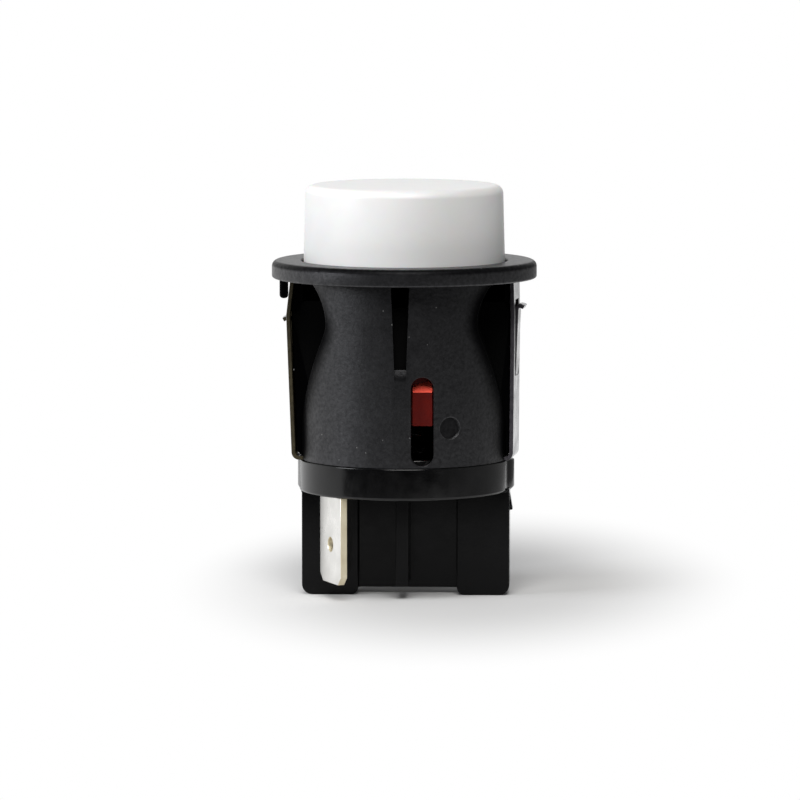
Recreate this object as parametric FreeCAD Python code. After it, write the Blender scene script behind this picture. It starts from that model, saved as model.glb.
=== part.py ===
import FreeCAD, Part
import math
import os

# Round snap-in pushbutton switch: press to latch on, press again to release.
# Millimetres. The origin is on the button's axis in the plane of the feet, +Z points up to the
# button, and the front, with the slot that shows the plunger, faces -Y.

# Housing: flange and barrel in one moulding
seat_height = 36.0
flange_radius = 15.0
flange_thickness = 2.0
flange_round = 0.7
flange_break = 0.15
barrel_top_radius = 12.2
barrel_foot_radius = 11.7
housing_wall = 1.2
bore_chamfer = 0.2
chamber_headroom = 2.5
well_wall = 1.2
neck_guide_wall = 1.2
neck_guide_height = 2.6
neck_guide_clearance = 0.15

# Side scoops that give the spring clips room to bend in
scoop_roof_x = 10.3
scoop_wall = 1.3
scoop_drop = 4.8
scoop_foot_rise = 0.6
scoop_ease = 1.6
scoop_swell = 9.5
scoop_flare = 0.2

# A pair of fins behind each clip, which follow its bend
fin_reach = 12.0
fin_thickness = 0.6
fin_inset = 0.6
fin_clearance = 0.3
clip_clearance = 0.3

# Slots that guide and stop the plunger's lugs
slot_offset = 2.45
slot_width = 2.5
slot_rise = 0.3
slot_length = 10.0

# Tapered groove and ejector mark on the front of the barrel
groove_top_width = 2.05
groove_foot_width = 1.35
groove_length = 9.5
groove_depth = 0.9
groove_ramp = 1.6
groove_ramp_depth = 0.35
mark_radius = 1.22
mark_depth = 0.2
mark_angle = 28.0
mark_rise = 4.5

# Key peg under the flange
peg_radius = 0.5
peg_place = 13.66
peg_length = 2.45
peg_taper = 0.3

# Base: collar, barrier wall and feet
collar_underside = 11.8
collar_height = 3.6
collar_radius = 11.9
collar_break = 0.2
base_floor = 1.6
cup_radius = 9.6
spigot_height = 0.8
spigot_clearance = 0.15
right_boss_reach = 12.5
left_boss_reach = 12.1
boss_width = 3.6
boss_chamfer = 0.5
right_foot_inner = 6.05
right_foot_outer = 12.0
left_foot_inner = 5.15
left_foot_outer = 11.55
foot_depth = 4.6
foot_wall = 1.2
foot_outer_round = 1.2
foot_inner_round = 0.9
web_thickness = 1.5
web_lift = 0.7
rib_thickness = 1.4
rib_reach = 6.8
rib_lift = 1.5
wedge_reach = 12.35
wedge_width = 1.6
wedge_top = 11.7
wedge_height = 2.1

# Button cap
cap_stand = 8.5
cap_top_radius = 11.2
cap_skirt_radius = 11.42
cap_round = 1.0
cap_wall = 1.3
cap_roof = 1.4
cap_sink = 1.0
cap_clearance = 0.2
socket_wall = 1.1
socket_length = 5.5
socket_clearance = 0.2

# Plunger
travel = 3.2
stop_gap = 0.4
way_half_width = 7.2
slide_clearance = 0.2
plate_top = 30.0
plate_thickness = 1.2
guide_wall = 1.2
guide_half_width = 5.5
lug_width = 2.2
lug_reach = 11.0
lug_bottom = 20.2
lug_top_gap = 0.25
lug_ramp = 1.5
neck_radius = 5.6
neck_wall = 1.2
nose_width = 3.0
nose_height = 0.9
nose_bite = 0.45
nose_drop = 3.1
tube_wall = 1.0
tube_drop = 8.8

# Wire: how many flats stand for its round section, and into how many runs a spring's turn is divided
wire_sides = 6
coil_steps = 9
coil_gap = 0.1

# Return spring, around a post on the base
spring_radius = 2.17
spring_wire = 0.55
spring_turns = 9
spring_clearance = 0.25
post_clearance = 0.15
post_height = 2.6

# Heart track, latch pin and its leaf spring
cam_inner = 3.0
cam_face = 5.0
cam_drop = 8.3
cam_margin = 1.4
track_depth = 1.1
track_clearance = 0.2
pin_radius = 0.45
pin_gap = 0.3
pin_bend = 0.8
pin_tip_height = 23.8
pivot_rise = 1.1
pivot_clearance = 0.05
pivot_cheek = 0.8
pivot_depth = 1.7
lane_pitch = 2.3
heart_gap = 0.25
heart_notch = 0.45
leaf_thickness = 0.25
leaf_clearance = 0.05
leaf_root_x = 7.6
leaf_sink = 0.9
leaf_top = 20.8
leaf_bow = 19.2
leaf_margin = 1.0
leaf_rise = 1.2
leaf_kick = 0.5
leaf_bend = 0.8

# Blade terminals
blade_width = 6.3
blade_thickness = 0.8
blade_tip = 1.9
blade_chamfer = 0.9
blade_hole_radius = 0.825
blade_hole_up = 4.4
blade_angle = 24.5
blade_x = -7.72
blade_y = -6.6
stem_width = 3.4
stem_bend = 0.9
stem_overlap = 1.0
stem_clearance = 0.1
contact_reach = 3.04
foot_overhang = 1.7

# Contacts
contact_radius = 1.5
contact_height = 0.9
bridge_contact_radius = 1.05
bridge_contact_height = 0.8
shank_radius = 0.6
shank_clearance = 0.02
contact_break = 0.3
contact_gap = 2.2
closed_gap = 0.05
bridge_width = 2.2
bridge_thickness = 0.8
bridge_overhang = 1.25
stirrup_wall = 0.7
stirrup_width = 4.0
stirrup_bar = 1.2
stirrup_clearance = 0.2
contact_spring_length = 6.0
contact_spring_radius = 0.9
contact_spring_wire = 0.4
contact_spring_turns = 6

# Spring clips
clip_width = 5.2
clip_thickness = 0.45
clip_stand = 0.75
clip_bend = 0.65
clip_foot = 1.55
clip_top_gap = 0.3
clip_belly_bend = 2.0
clip_belly_drop = 4.2
barb_width = 2.4
barb_slit = 0.25
barb_root_drop = 10.6
barb_reach = 13.8
barb_hook = 0.9
barb_fall = 0.6
barb_bend = 0.4

# Each clip's side (+1 right, -1 left), belly reach, top reach, barb tip below the seat, and how many
# degrees it stands askew in its notch
clips = {
    "left_clip": (-1, 13.05, 12.6, 4.2, 0.0),
    "right_clip": (1, 12.6, 12.5, 2.7, 6.0),
}

# Heights and radii that follow from the sizes above
flange_top = seat_height + flange_thickness
collar_top = collar_underside + collar_height
floor_top = collar_underside + base_floor
bore_radius = cap_skirt_radius + cap_clearance
cap_top = flange_top + cap_stand
cap_bottom = flange_top - cap_sink
cap_ceiling = cap_top - cap_roof
well_floor = cap_bottom - travel - stop_gap
way_top = well_floor - well_wall
neck_guide_bore = neck_radius + nose_bite + neck_guide_clearance
chamber_radius = barrel_foot_radius - housing_wall
plunger_radius = chamber_radius - slide_clearance
plunger_half_width = way_half_width - slide_clearance
plate_underside = plate_top - plate_thickness
slot_bottom = collar_top + slot_rise
slot_top = slot_bottom + slot_length
lug_top = slot_top - lug_top_gap
tube_bore = spring_radius + spring_wire / 2 + spring_clearance
tube_radius = tube_bore + tube_wall
tube_bottom = plate_underside - tube_drop
scoop_floor_x = way_half_width + scoop_wall
scoop_floor_z = seat_height - scoop_drop
fin_face = clip_width / 2 - fin_inset
fin_foot = collar_top + clip_thickness + clip_bend
foot_top = floor_top + blade_thickness
fixed_contact_top = foot_top + contact_height
bridge_contact_bottom = fixed_contact_top + contact_gap + closed_gap
bridge_bottom = bridge_contact_bottom + bridge_contact_height
bridge_top = bridge_bottom + bridge_thickness
contact_spring_top = bridge_top + contact_spring_length
chamber_roof = bridge_top + chamber_headroom
angle = math.radians(blade_angle)
contact_x = blade_x + contact_reach * math.cos(angle)
contact_y = blade_y + contact_reach * math.sin(angle)
pin_x = cam_face + pin_gap + pin_radius
pivot_height = floor_top + pivot_rise
pin_length = pin_tip_height - pivot_height
swing = math.asin(lane_pitch / pin_length)
swing_drop = pin_length * (1 - math.cos(swing))

V = FreeCAD.Vector
AXIS = V(0, 0, 1)
ORIGIN = V(0, 0, 0)


# Helpers
def block(x0, x1, y0, y1, z0, z1):
    return Part.makeBox(x1 - x0, y1 - y0, z1 - z0, V(x0, y0, z0))


def disc(radius, z0, z1, x=0, y=0):
    return Part.makeCylinder(radius, z1 - z0, V(x, y, z0))


def line(start, end):
    return Part.LineSegment(start, end).toShape()


def arc(start, middle, end):
    return Part.Arc(start, middle, end).toShape()


def turned(edges):
    """Turn a closed profile, drawn in the XZ half plane, about the vertical axis."""
    return Part.Face(Part.Wire(edges)).revolve(ORIGIN, AXIS, 360)


def corner_arc(x, z, radius):
    """The top outer corner of a turned profile, rounded: from its side to its top."""
    slant = radius * (1 - math.sqrt(0.5))
    return arc(V(x, 0, z - radius), V(x - slant, 0, z - slant), V(x - radius, 0, z))


def prism(points, along):
    """Extrude a closed outline of straight runs."""
    return Part.Face(Part.makePolygon(points + points[:1])).extrude(along)


def stadium(x, z0, z1, width, y0, y1):
    """A slot with round ends, upright in the XZ plane and cut along Y."""
    radius = width / 2
    low = V(x, y0, z0 + radius)
    high = V(x, y0, z1 - radius)
    side = V(radius, 0, 0)
    end = V(0, 0, radius)
    edges = [
        line(low + side, high + side),
        arc(high + side, high + end, high - side),
        line(high - side, low - side),
        arc(low - side, low - end, low + side),
    ]
    return Part.Face(Part.Wire(edges)).extrude(V(0, y1 - y0, 0))


def ribbon(points, bends, thickness, y0, y1):
    """A bent strip: its mid-line runs through points in XZ and turns at each inner one on a radius."""
    points = [V(x, 0, z) for x, z in points]
    runs = [(b - a).normalize() for a, b in zip(points, points[1:])]
    normals = [V(-run.z, 0, run.x) for run in runs]
    sides = []
    for offset in (thickness / 2, -thickness / 2):
        here = points[0] + normals[0] * offset
        edges = []
        for i, radius in enumerate(bends):
            run, turn_to = runs[i], runs[i + 1]
            turn = math.atan2(run.x * turn_to.z - run.z * turn_to.x, run.dot(turn_to))
            hand = math.copysign(1, turn)
            reach = radius * math.tan(abs(turn) / 2)
            first = points[i + 1] - run * reach
            last = points[i + 1] + turn_to * reach
            centre = first + normals[i] * (radius * hand)
            outward = ((first + last) * 0.5 - centre).normalize()
            start = first + normals[i] * offset
            end = last + normals[i + 1] * offset
            edges.append(line(here, start))
            edges.append(arc(start, centre + outward * (radius - offset * hand), end))
            here = end
        tail = points[-1] + normals[-1] * offset
        edges.append(line(here, tail))
        sides.append((edges, points[0] + normals[0] * offset, tail))
    (left, left_start, left_end), (right, right_start, right_end) = sides
    loop = left + [line(left_end, right_end)] + right[::-1] + [line(right_start, left_start)]
    strip = Part.Face(Part.Wire(loop)).extrude(V(0, y1 - y0, 0))
    strip.translate(V(0, y0, 0))
    return strip


def wire_section(centre, side, up, radius):
    """A closed outline with the wire's flats, in the plane of two directions."""
    corners = []
    for flat in range(wire_sides):
        around = 2 * math.pi * flat / wire_sides
        corners.append(centre + (side * math.cos(around) + up * math.sin(around)) * radius)
    return Part.makePolygon(corners + corners[:1])


def coil_rise(turn, turns, height, end_pitch):
    """How far a spring has climbed after some turns: its first and last turn lie closed."""
    open_pitch = (height - 2 * end_pitch) / (turns - 2)
    if turn <= 1:
        return turn * end_pitch
    if turn >= turns - 1:
        return height - (turns - turn) * end_pitch
    return end_pitch + (turn - 1) * open_pitch


def coil(mean_radius, wire, z0, z1, turns, x=0):
    """A compression spring between two flat seats: a loft through sections turned round its axis."""
    height = z1 - z0 - wire
    steps = turns * coil_steps
    sections = []
    for step in range(steps + 1):
        turn = 2 * math.pi * step / coil_steps
        outward = V(math.cos(turn), math.sin(turn), 0)
        rise = coil_rise(step / coil_steps, turns, height, wire + coil_gap)
        centre = V(x, 0, z0 + wire / 2 + rise) + outward * mean_radius
        sections.append(wire_section(centre, outward, AXIS, wire / 2))
    return Part.makeLoft(sections, True, True)


def bent_wire(path, radius):
    """Wire along a path of lines and arcs in the XZ plane that starts along X."""
    start = path[0].Vertexes[0].Point
    section = wire_section(start, V(0, 1, 0), AXIS, radius)
    return Part.Wire(path).makePipeShell([section], True, True)


def cut_all(shape, tools):
    return shape.cut(tools[0].multiFuse(tools[1:]))


def fuse_all(shapes):
    return shapes[0].multiFuse(shapes[1:]).removeSplitter()


def mirrored(shape, normal):
    return shape.mirror(ORIGIN, normal)


def half_turn(shape):
    copy = shape.copy()
    copy.rotate(ORIGIN, AXIS, 180)
    return copy


# Housing
def housing_blank():
    edges = [
        line(V(0, 0, collar_top), V(barrel_foot_radius, 0, collar_top)),
        line(V(barrel_foot_radius, 0, collar_top), V(barrel_top_radius, 0, seat_height)),
        line(V(barrel_top_radius, 0, seat_height), V(flange_radius - flange_break, 0, seat_height)),
        line(V(flange_radius - flange_break, 0, seat_height),
             V(flange_radius, 0, seat_height + flange_break)),
        line(V(flange_radius, 0, seat_height + flange_break),
             V(flange_radius, 0, flange_top - flange_round)),
        corner_arc(flange_radius, flange_top, flange_round),
        line(V(flange_radius - flange_round, 0, flange_top), V(0, 0, flange_top)),
        line(V(0, 0, flange_top), V(0, 0, collar_top)),
    ]
    return turned(edges)


def scoop():
    """The pocket behind the right clip: a hollow roof below the flange and a long run-out to the collar.

    Behind the front fin it stops short of the cap's well, so that the well stays closed at the back.
    """
    outside = 2 * flange_radius
    roof_run = scoop_roof_x - scoop_floor_x
    roof_radius = (roof_run ** 2 + scoop_drop ** 2) / (2 * roof_run)
    half = math.asin(scoop_drop / roof_radius) / 2
    deepest = V(scoop_floor_x, 0, scoop_floor_z)
    roof = V(scoop_roof_x, 0, seat_height)
    shoulder = deepest + V(roof_radius * (1 - math.cos(half)), 0, roof_radius * math.sin(half))
    foot = V(barrel_foot_radius, 0, collar_top + scoop_foot_rise)
    run_out = Part.BezierCurve()
    run_out.setPoles([deepest, deepest - V(0, 0, scoop_ease), foot + V(-scoop_flare, 0, scoop_swell), foot])
    edges = [
        arc(roof, shoulder, deepest),
        run_out.toShape(),
        line(foot, V(outside, 0, foot.z)),
        line(V(outside, 0, foot.z), V(outside, 0, seat_height)),
        line(V(outside, 0, seat_height), roof),
    ]
    tool = Part.Face(Part.Wire(edges)).extrude(V(0, 2 * flange_radius, 0))
    tool.translate(V(0, -flange_radius, 0))
    return tool.cut(block(0, outside, -fin_face, flange_radius, way_top, seat_height))


def fins(side, belly_x, top_x):
    gap = clip_thickness / 2 + fin_clearance
    start = fin_face - fin_thickness
    near = prism([
        V(way_half_width, start, fin_foot),
        V(fin_reach, start, fin_foot),
        V(belly_x - gap, start, seat_height - clip_belly_drop),
        V(top_x - gap, start, seat_height),
        V(way_half_width, start, seat_height),
    ], V(0, fin_thickness, 0))
    pair = near.fuse(mirrored(near, V(0, 1, 0)))
    return pair if side > 0 else half_turn(pair)


def slot_tool(width, z0, z1):
    return stadium(slot_offset, z0, z1, width, -flange_radius, housing_wall - chamber_radius)


def groove():
    outer = -flange_radius
    foot = seat_height - groove_length
    top = groove_top_width / 2
    low = groove_foot_width / 2
    points = [
        V(-top, outer, seat_height),
        V(top, outer, seat_height),
        V(low, outer, foot),
        V(-low, outer, foot),
    ]
    depth = flange_radius - barrel_foot_radius + groove_depth
    return prism(points, V(0, depth, 0))


def groove_run_out():
    """The shallow slope in which the groove ends."""
    half = groove_foot_width / 2
    foot = seat_height - groove_length
    points = [
        V(-half, groove_ramp_depth - barrel_foot_radius, foot),
        V(-half, -barrel_top_radius, foot),
        V(-half, -barrel_top_radius, foot - groove_ramp),
    ]
    return prism(points, V(groove_foot_width, 0, 0))


def ejector_mark():
    turn = math.radians(mark_angle)
    outward = V(math.sin(turn), -math.cos(turn), 0)
    floor = outward * (barrel_foot_radius - mark_depth) + V(0, 0, collar_top + mark_rise)
    return Part.makeCylinder(mark_radius, mark_radius, floor, outward)


def key_peg():
    tip = V(-peg_place, 0, seat_height - peg_length)
    stem = disc(peg_radius, tip.z + peg_taper, seat_height, -peg_place)
    return stem.fuse(Part.makeCone(peg_radius - peg_taper, peg_radius, peg_taper, tip))


def neck_guide():
    """A short tube on the floor of the cap's well that guides the plunger's neck."""
    top = well_floor + neck_guide_height
    tube = disc(neck_guide_bore + neck_guide_wall, well_floor, top)
    return tube.cut(disc(neck_guide_bore, well_floor, top))


def plunger_way(half_width, radius, z0, z1):
    return disc(radius, z0, z1).common(block(-half_width, half_width, -radius, radius, z0, z1))


def clip_foot_notch():
    half = clip_width / 2 + clip_clearance
    return block(cup_radius, flange_radius, -half, half, collar_top, collar_top + clip_thickness)


def make_housing():
    right_scoop = scoop()
    body = cut_all(housing_blank(), [right_scoop, mirrored(right_scoop, V(1, 0, 0))])
    body = fuse_all([body] + [fins(*sizes[:3]) for sizes in clips.values()])
    front_slot = slot_tool(slot_width, slot_bottom, slot_top)
    notch = clip_foot_notch()
    chamfer_floor = flange_top - bore_chamfer
    bore_lip = Part.makeCone(bore_radius, bore_radius + bore_chamfer, bore_chamfer, V(0, 0, chamfer_floor))
    hollows = [
        disc(bore_radius, well_floor, flange_top),
        bore_lip,
        disc(chamber_radius, collar_top, chamber_roof),
        plunger_way(way_half_width, chamber_radius, collar_top, way_top),
        disc(neck_guide_bore, way_top, well_floor),
        front_slot,
        half_turn(front_slot),
        groove(),
        groove_run_out(),
        ejector_mark(),
        notch,
        half_turn(notch),
    ]
    return fuse_all([cut_all(body, hollows), key_peg(), neck_guide()])


# Base
def foot_block(inner, outer):
    """A foot on the right: a pillar with round lower corners, cored from below."""
    half = foot_depth / 2
    pillar = block(inner, outer, -half, half, 0, collar_underside)
    for x, radius in ((outer, foot_outer_round), (inner, foot_inner_round)):
        corner = V(x, 0, 0)
        edges = [e for e in pillar.Edges if e.CenterOfMass.distanceToPoint(corner) < radius / 10]
        pillar = pillar.makeFillet(radius, edges)
    core_half = half - foot_wall
    core = block(inner + foot_wall, outer - foot_wall, -core_half, core_half, 0,
                 collar_underside - foot_wall)
    return pillar.cut(core)


def clip_boss(reach):
    """A round swelling on the right of the collar, below the clip's foot."""
    half = boss_width / 2
    rise = reach - math.sqrt(collar_radius ** 2 - half ** 2)
    radius = (half ** 2 + rise ** 2) / (2 * rise)
    middle = V(reach - radius, 0, collar_underside)
    tip = Part.makeCone(radius - boss_chamfer, radius, boss_chamfer, middle)
    return tip.fuse(disc(radius, collar_underside + boss_chamfer, collar_top, middle.x))


def side_wedge():
    half = wedge_width / 2
    root = right_foot_outer - foot_wall / 2
    points = [
        V(root, -half, wedge_top),
        V(right_foot_outer, -half, wedge_top),
        V(wedge_reach, -half, wedge_top - wedge_height),
        V(root, -half, wedge_top - wedge_height),
    ]
    return prism(points, V(0, wedge_width, 0))


def collar():
    edges = [
        line(V(0, 0, collar_underside), V(collar_radius - collar_break, 0, collar_underside)),
        line(V(collar_radius - collar_break, 0, collar_underside),
             V(collar_radius, 0, collar_underside + collar_break)),
        line(V(collar_radius, 0, collar_underside + collar_break), V(collar_radius, 0, collar_top)),
        line(V(collar_radius, 0, collar_top), V(0, 0, collar_top)),
        line(V(0, 0, collar_top), V(0, 0, collar_underside)),
    ]
    spigot = disc(chamber_radius - spigot_clearance, collar_top, collar_top + spigot_height)
    return turned(edges).fuse(spigot)


def terminal_place(shape):
    """Move a shape from the terminal's own axes, X pointing inwards, to the front left quadrant."""
    shape.rotate(ORIGIN, AXIS, blade_angle)
    shape.translate(V(blade_x, blade_y, 0))
    return shape


def terminal_pocket():
    half_stem = stem_width / 2 + stem_clearance
    half_sheet = blade_thickness / 2 + stem_clearance
    slot = block(-half_sheet, stem_bend, -half_stem, half_stem, collar_underside, floor_top)
    room = block(-half_sheet, contact_reach, -half_stem, half_stem, floor_top,
                 collar_top + spigot_height)
    return terminal_place(slot.fuse(room))


def pivot_boss():
    half = pin_radius + pivot_clearance + pivot_cheek
    top = pivot_height + half
    boss = block(cam_face - pivot_depth, cam_face, -half, half, floor_top, top)
    hole = Part.makeCylinder(pin_radius + pivot_clearance, cam_face, V(0, 0, pivot_height), V(1, 0, 0))
    return boss.cut(hole)


def leaf_slot():
    half = leaf_thickness / 2 + leaf_clearance
    near, far = leaf_edges()
    return block(leaf_root_x - half, leaf_root_x + half, near - leaf_clearance, far + leaf_clearance,
                 floor_top - leaf_sink, floor_top)


def make_base():
    half_web = web_thickness / 2
    half_rib = rib_thickness / 2
    solid = fuse_all([
        collar(),
        foot_block(right_foot_inner, right_foot_outer),
        half_turn(foot_block(left_foot_inner, left_foot_outer)),
        block(-left_foot_inner, right_foot_inner, -half_web, half_web, web_lift, collar_underside),
        block(-half_rib, half_rib, -rib_reach, rib_reach, rib_lift, collar_underside),
        clip_boss(right_boss_reach),
        half_turn(clip_boss(left_boss_reach)),
        side_wedge(),
    ])
    pocket = terminal_pocket()
    tools = [
        disc(cup_radius, floor_top, collar_top + spigot_height),
        pocket,
        mirrored(pocket, V(0, 1, 0)),
        leaf_slot(),
    ]
    solid = cut_all(solid, tools)
    post_radius = spring_radius - spring_wire / 2 - post_clearance
    post = disc(post_radius, floor_top, floor_top + post_height)
    return fuse_all([solid, post, pivot_boss()])


# Button cap
def make_button_cap():
    inner = cap_skirt_radius - cap_wall
    inner_top = cap_top_radius - cap_wall
    edges = [
        line(V(0, 0, cap_ceiling), V(inner_top, 0, cap_ceiling)),
        line(V(inner_top, 0, cap_ceiling), V(inner, 0, cap_bottom)),
        line(V(inner, 0, cap_bottom), V(cap_skirt_radius, 0, cap_bottom)),
        line(V(cap_skirt_radius, 0, cap_bottom), V(cap_top_radius, 0, cap_top - cap_round)),
        corner_arc(cap_top_radius, cap_top, cap_round),
        line(V(cap_top_radius - cap_round, 0, cap_top), V(0, 0, cap_top)),
        line(V(0, 0, cap_top), V(0, 0, cap_ceiling)),
    ]
    socket_inner = neck_radius + socket_clearance
    socket_outer = socket_inner + socket_wall
    socket_bottom = cap_ceiling - socket_length
    socket = disc(socket_outer, socket_bottom, cap_ceiling).cut(
        disc(socket_inner, socket_bottom, cap_ceiling))
    half = nose_width / 2 + socket_clearance
    window_bottom = cap_ceiling - nose_drop - socket_clearance
    window_top = cap_ceiling - nose_drop + nose_height + socket_clearance
    window = block(-half, half, -socket_outer, socket_outer, window_bottom, window_top)
    return fuse_all([turned(edges), socket.cut(window)])


# Plunger
def plunger_lug():
    """The front lug: round above, flat below, with a ramp that lets it spring into the slot."""
    radius = lug_width / 2
    root = guide_wall - plunger_radius
    full = stadium(slot_offset, lug_bottom - lug_width, lug_top, lug_width, -lug_reach, root)
    keep = block(slot_offset - radius, slot_offset + radius, -lug_reach, root, lug_bottom, lug_top)
    ramp = prism([
        V(slot_offset - radius, -lug_reach, lug_top),
        V(slot_offset - radius, -lug_reach, lug_top - lug_ramp),
        V(slot_offset - radius, -lug_reach + lug_ramp, lug_top),
    ], V(lug_width, 0, 0))
    return full.common(keep).cut(ramp)


def plunger_nose():
    half = nose_width / 2
    low = cap_ceiling - nose_drop
    tip = neck_radius + nose_bite
    points = [
        V(-half, neck_radius - neck_wall / 2, low),
        V(-half, tip, low),
        V(-half, neck_radius, low + nose_height),
        V(-half, neck_radius - neck_wall / 2, low + nose_height),
    ]
    return prism(points, V(nose_width, 0, 0))


def heart_track():
    """A loop of two lanes round a heart-shaped island, open across at both ends of the travel."""
    lane = pin_radius + track_clearance
    low = pin_tip_height - swing_drop - lane
    high = pin_tip_height + travel + lane
    near = -lane
    far = lane_pitch + lane
    floor = cam_face - track_depth
    loop = block(floor, cam_face, near, far, low, high)
    upright = [e for e in loop.Edges if e.BoundBox.XLength > track_depth / 2]
    loop = loop.makeFillet(pin_radius, upright)
    left = lane
    right = lane_pitch - lane
    middle = lane_pitch / 2
    bottom = pin_tip_height + pin_radius + heart_gap
    top = pin_tip_height + travel - swing_drop - pin_radius - heart_gap
    waist = bottom + (right - left) / 2
    heart = prism([
        V(floor, middle, bottom),
        V(floor, right, waist),
        V(floor, right, top),
        V(floor, middle, top - heart_notch),
        V(floor, left, top),
        V(floor, left, waist),
    ], V(track_depth, 0, 0))
    return loop.cut(heart)


def cam_plate():
    lane = pin_radius + track_clearance
    near = -lane - cam_margin
    far = lane_pitch + lane + cam_margin
    return block(cam_inner, cam_face, near, far, plate_underside - cam_drop, plate_top)


def stirrup():
    """The frame that carries the contact bridge: two legs, a bar below and a spring seat above."""
    half = bridge_width / 2 + stirrup_clearance
    outer = contact_x - half - stirrup_wall
    inner = contact_x + half + stirrup_wall
    depth = stirrup_width / 2
    return block(outer, inner, -depth, depth, bridge_bottom - stirrup_bar, plate_top)


def stirrup_window():
    half = bridge_width / 2 + stirrup_clearance
    return block(contact_x - half, contact_x + half, -stirrup_width, stirrup_width,
                 bridge_bottom, contact_spring_top)


def make_plunger():
    ring = disc(plunger_radius, lug_bottom, plate_top).cut(
        disc(plunger_radius - guide_wall, lug_bottom, plate_top))
    guides = ring.common(block(-guide_half_width, guide_half_width, -plunger_radius, plunger_radius,
                               lug_bottom, plate_top))
    lug = plunger_lug()
    nose = plunger_nose()
    neck = disc(neck_radius, plate_underside, cap_ceiling)
    solid = fuse_all([
        plunger_way(plunger_half_width, plunger_radius, plate_underside, plate_top),
        guides,
        lug,
        half_turn(lug),
        neck,
        nose,
        half_turn(nose),
        disc(tube_radius, tube_bottom, plate_top),
        cam_plate(),
        stirrup(),
    ])
    return cut_all(solid, [
        disc(neck_radius - neck_wall, plate_top, cap_ceiling),
        disc(tube_bore, tube_bottom, plate_underside),
        stirrup_window(),
        heart_track(),
    ])


# Springs
def make_return_spring():
    return coil(spring_radius, spring_wire, floor_top, plate_underside, spring_turns)


def make_contact_spring():
    return coil(contact_spring_radius, contact_spring_wire, bridge_top, contact_spring_top,
                contact_spring_turns, contact_x)


# Latch
def make_latch_pin():
    tip = cam_face - track_depth + pin_gap
    heel = cam_face - pivot_depth + pin_gap
    slant = pin_bend * (1 - math.sqrt(0.5))
    near = pin_x - pin_bend
    low = pivot_height
    high = pin_tip_height
    path = [
        line(V(heel, 0, low), V(near, 0, low)),
        arc(V(near, 0, low), V(pin_x - slant, 0, low + slant), V(pin_x, 0, low + pin_bend)),
        line(V(pin_x, 0, low + pin_bend), V(pin_x, 0, high - pin_bend)),
        arc(V(pin_x, 0, high - pin_bend), V(pin_x - slant, 0, high - slant), V(near, 0, high)),
        line(V(near, 0, high), V(tip, 0, high)),
    ]
    return bent_wire(path, pin_radius)


def leaf_edges():
    swept = lane_pitch * (leaf_bow - pivot_height) / pin_length
    return -leaf_margin, swept + leaf_margin


def make_latch_spring():
    touch = pin_x + pin_radius + leaf_clearance + leaf_thickness / 2
    near, far = leaf_edges()
    points = [
        (leaf_root_x, floor_top - leaf_sink),
        (leaf_root_x, floor_top + leaf_rise),
        (touch, leaf_bow),
        (touch + leaf_kick, leaf_top),
    ]
    return ribbon(points, [leaf_bend, leaf_bend], leaf_thickness, near, far)


# Terminals and contacts
def make_front_terminal():
    half = blade_width / 2
    sheet = blade_thickness / 2
    points = [
        V(-sheet, -half, collar_underside),
        V(-sheet, -half, blade_tip + blade_chamfer),
        V(-sheet, -half + blade_chamfer, blade_tip),
        V(-sheet, half - blade_chamfer, blade_tip),
        V(-sheet, half, blade_tip + blade_chamfer),
        V(-sheet, half, collar_underside),
    ]
    hole = Part.makeCylinder(blade_hole_radius, blade_thickness, V(-sheet, 0, blade_tip + blade_hole_up),
                             V(1, 0, 0))
    blade = prism(points, V(blade_thickness, 0, 0)).cut(hole)
    foot_middle = floor_top + sheet
    foot_end = contact_reach + foot_overhang
    bend = [(0, collar_underside - stem_overlap), (0, foot_middle), (foot_end, foot_middle)]
    stem = ribbon(bend, [stem_bend], blade_thickness, -stem_width / 2, stem_width / 2)
    seat = disc(shank_radius + shank_clearance, floor_top, foot_top, contact_reach)
    return terminal_place(blade.fuse(stem).removeSplitter().cut(seat))


def rivet(head_radius, head_height, length, base, x, y, up):
    """A contact rivet: a head with a broken edge, and a shank through a strip of the given thickness."""
    edges = [
        line(V(0, 0, -length), V(shank_radius, 0, -length)),
        line(V(shank_radius, 0, -length), V(shank_radius, 0, 0)),
        line(V(shank_radius, 0, 0), V(head_radius, 0, 0)),
        line(V(head_radius, 0, 0), V(head_radius, 0, head_height - contact_break)),
        line(V(head_radius, 0, head_height - contact_break), V(head_radius - contact_break, 0, head_height)),
        line(V(head_radius - contact_break, 0, head_height), V(0, 0, head_height)),
        line(V(0, 0, head_height), V(0, 0, -length)),
    ]
    solid = turned(edges)
    if not up:
        solid.rotate(ORIGIN, V(1, 0, 0), 180)
    solid.translate(V(x, y, base))
    return solid


def make_fixed_contact(side):
    return rivet(contact_radius, contact_height, blade_thickness, foot_top,
                 contact_x, side * contact_y, True)


def make_bridge_contact(side):
    return rivet(bridge_contact_radius, bridge_contact_height, bridge_thickness, bridge_bottom,
                 contact_x, side * contact_y, False)


def make_contact_bridge():
    half = bridge_width / 2
    end = abs(contact_y) + bridge_overhang - half
    strip = block(contact_x - half, contact_x + half, -end, end, bridge_bottom, bridge_top)
    rounds = [disc(half, bridge_bottom, bridge_top, contact_x, y) for y in (-end, end)]
    holes = [disc(shank_radius + shank_clearance, bridge_bottom, bridge_top, contact_x, y)
             for y in (-contact_y, contact_y)]
    return cut_all(fuse_all([strip] + rounds), holes)


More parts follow.
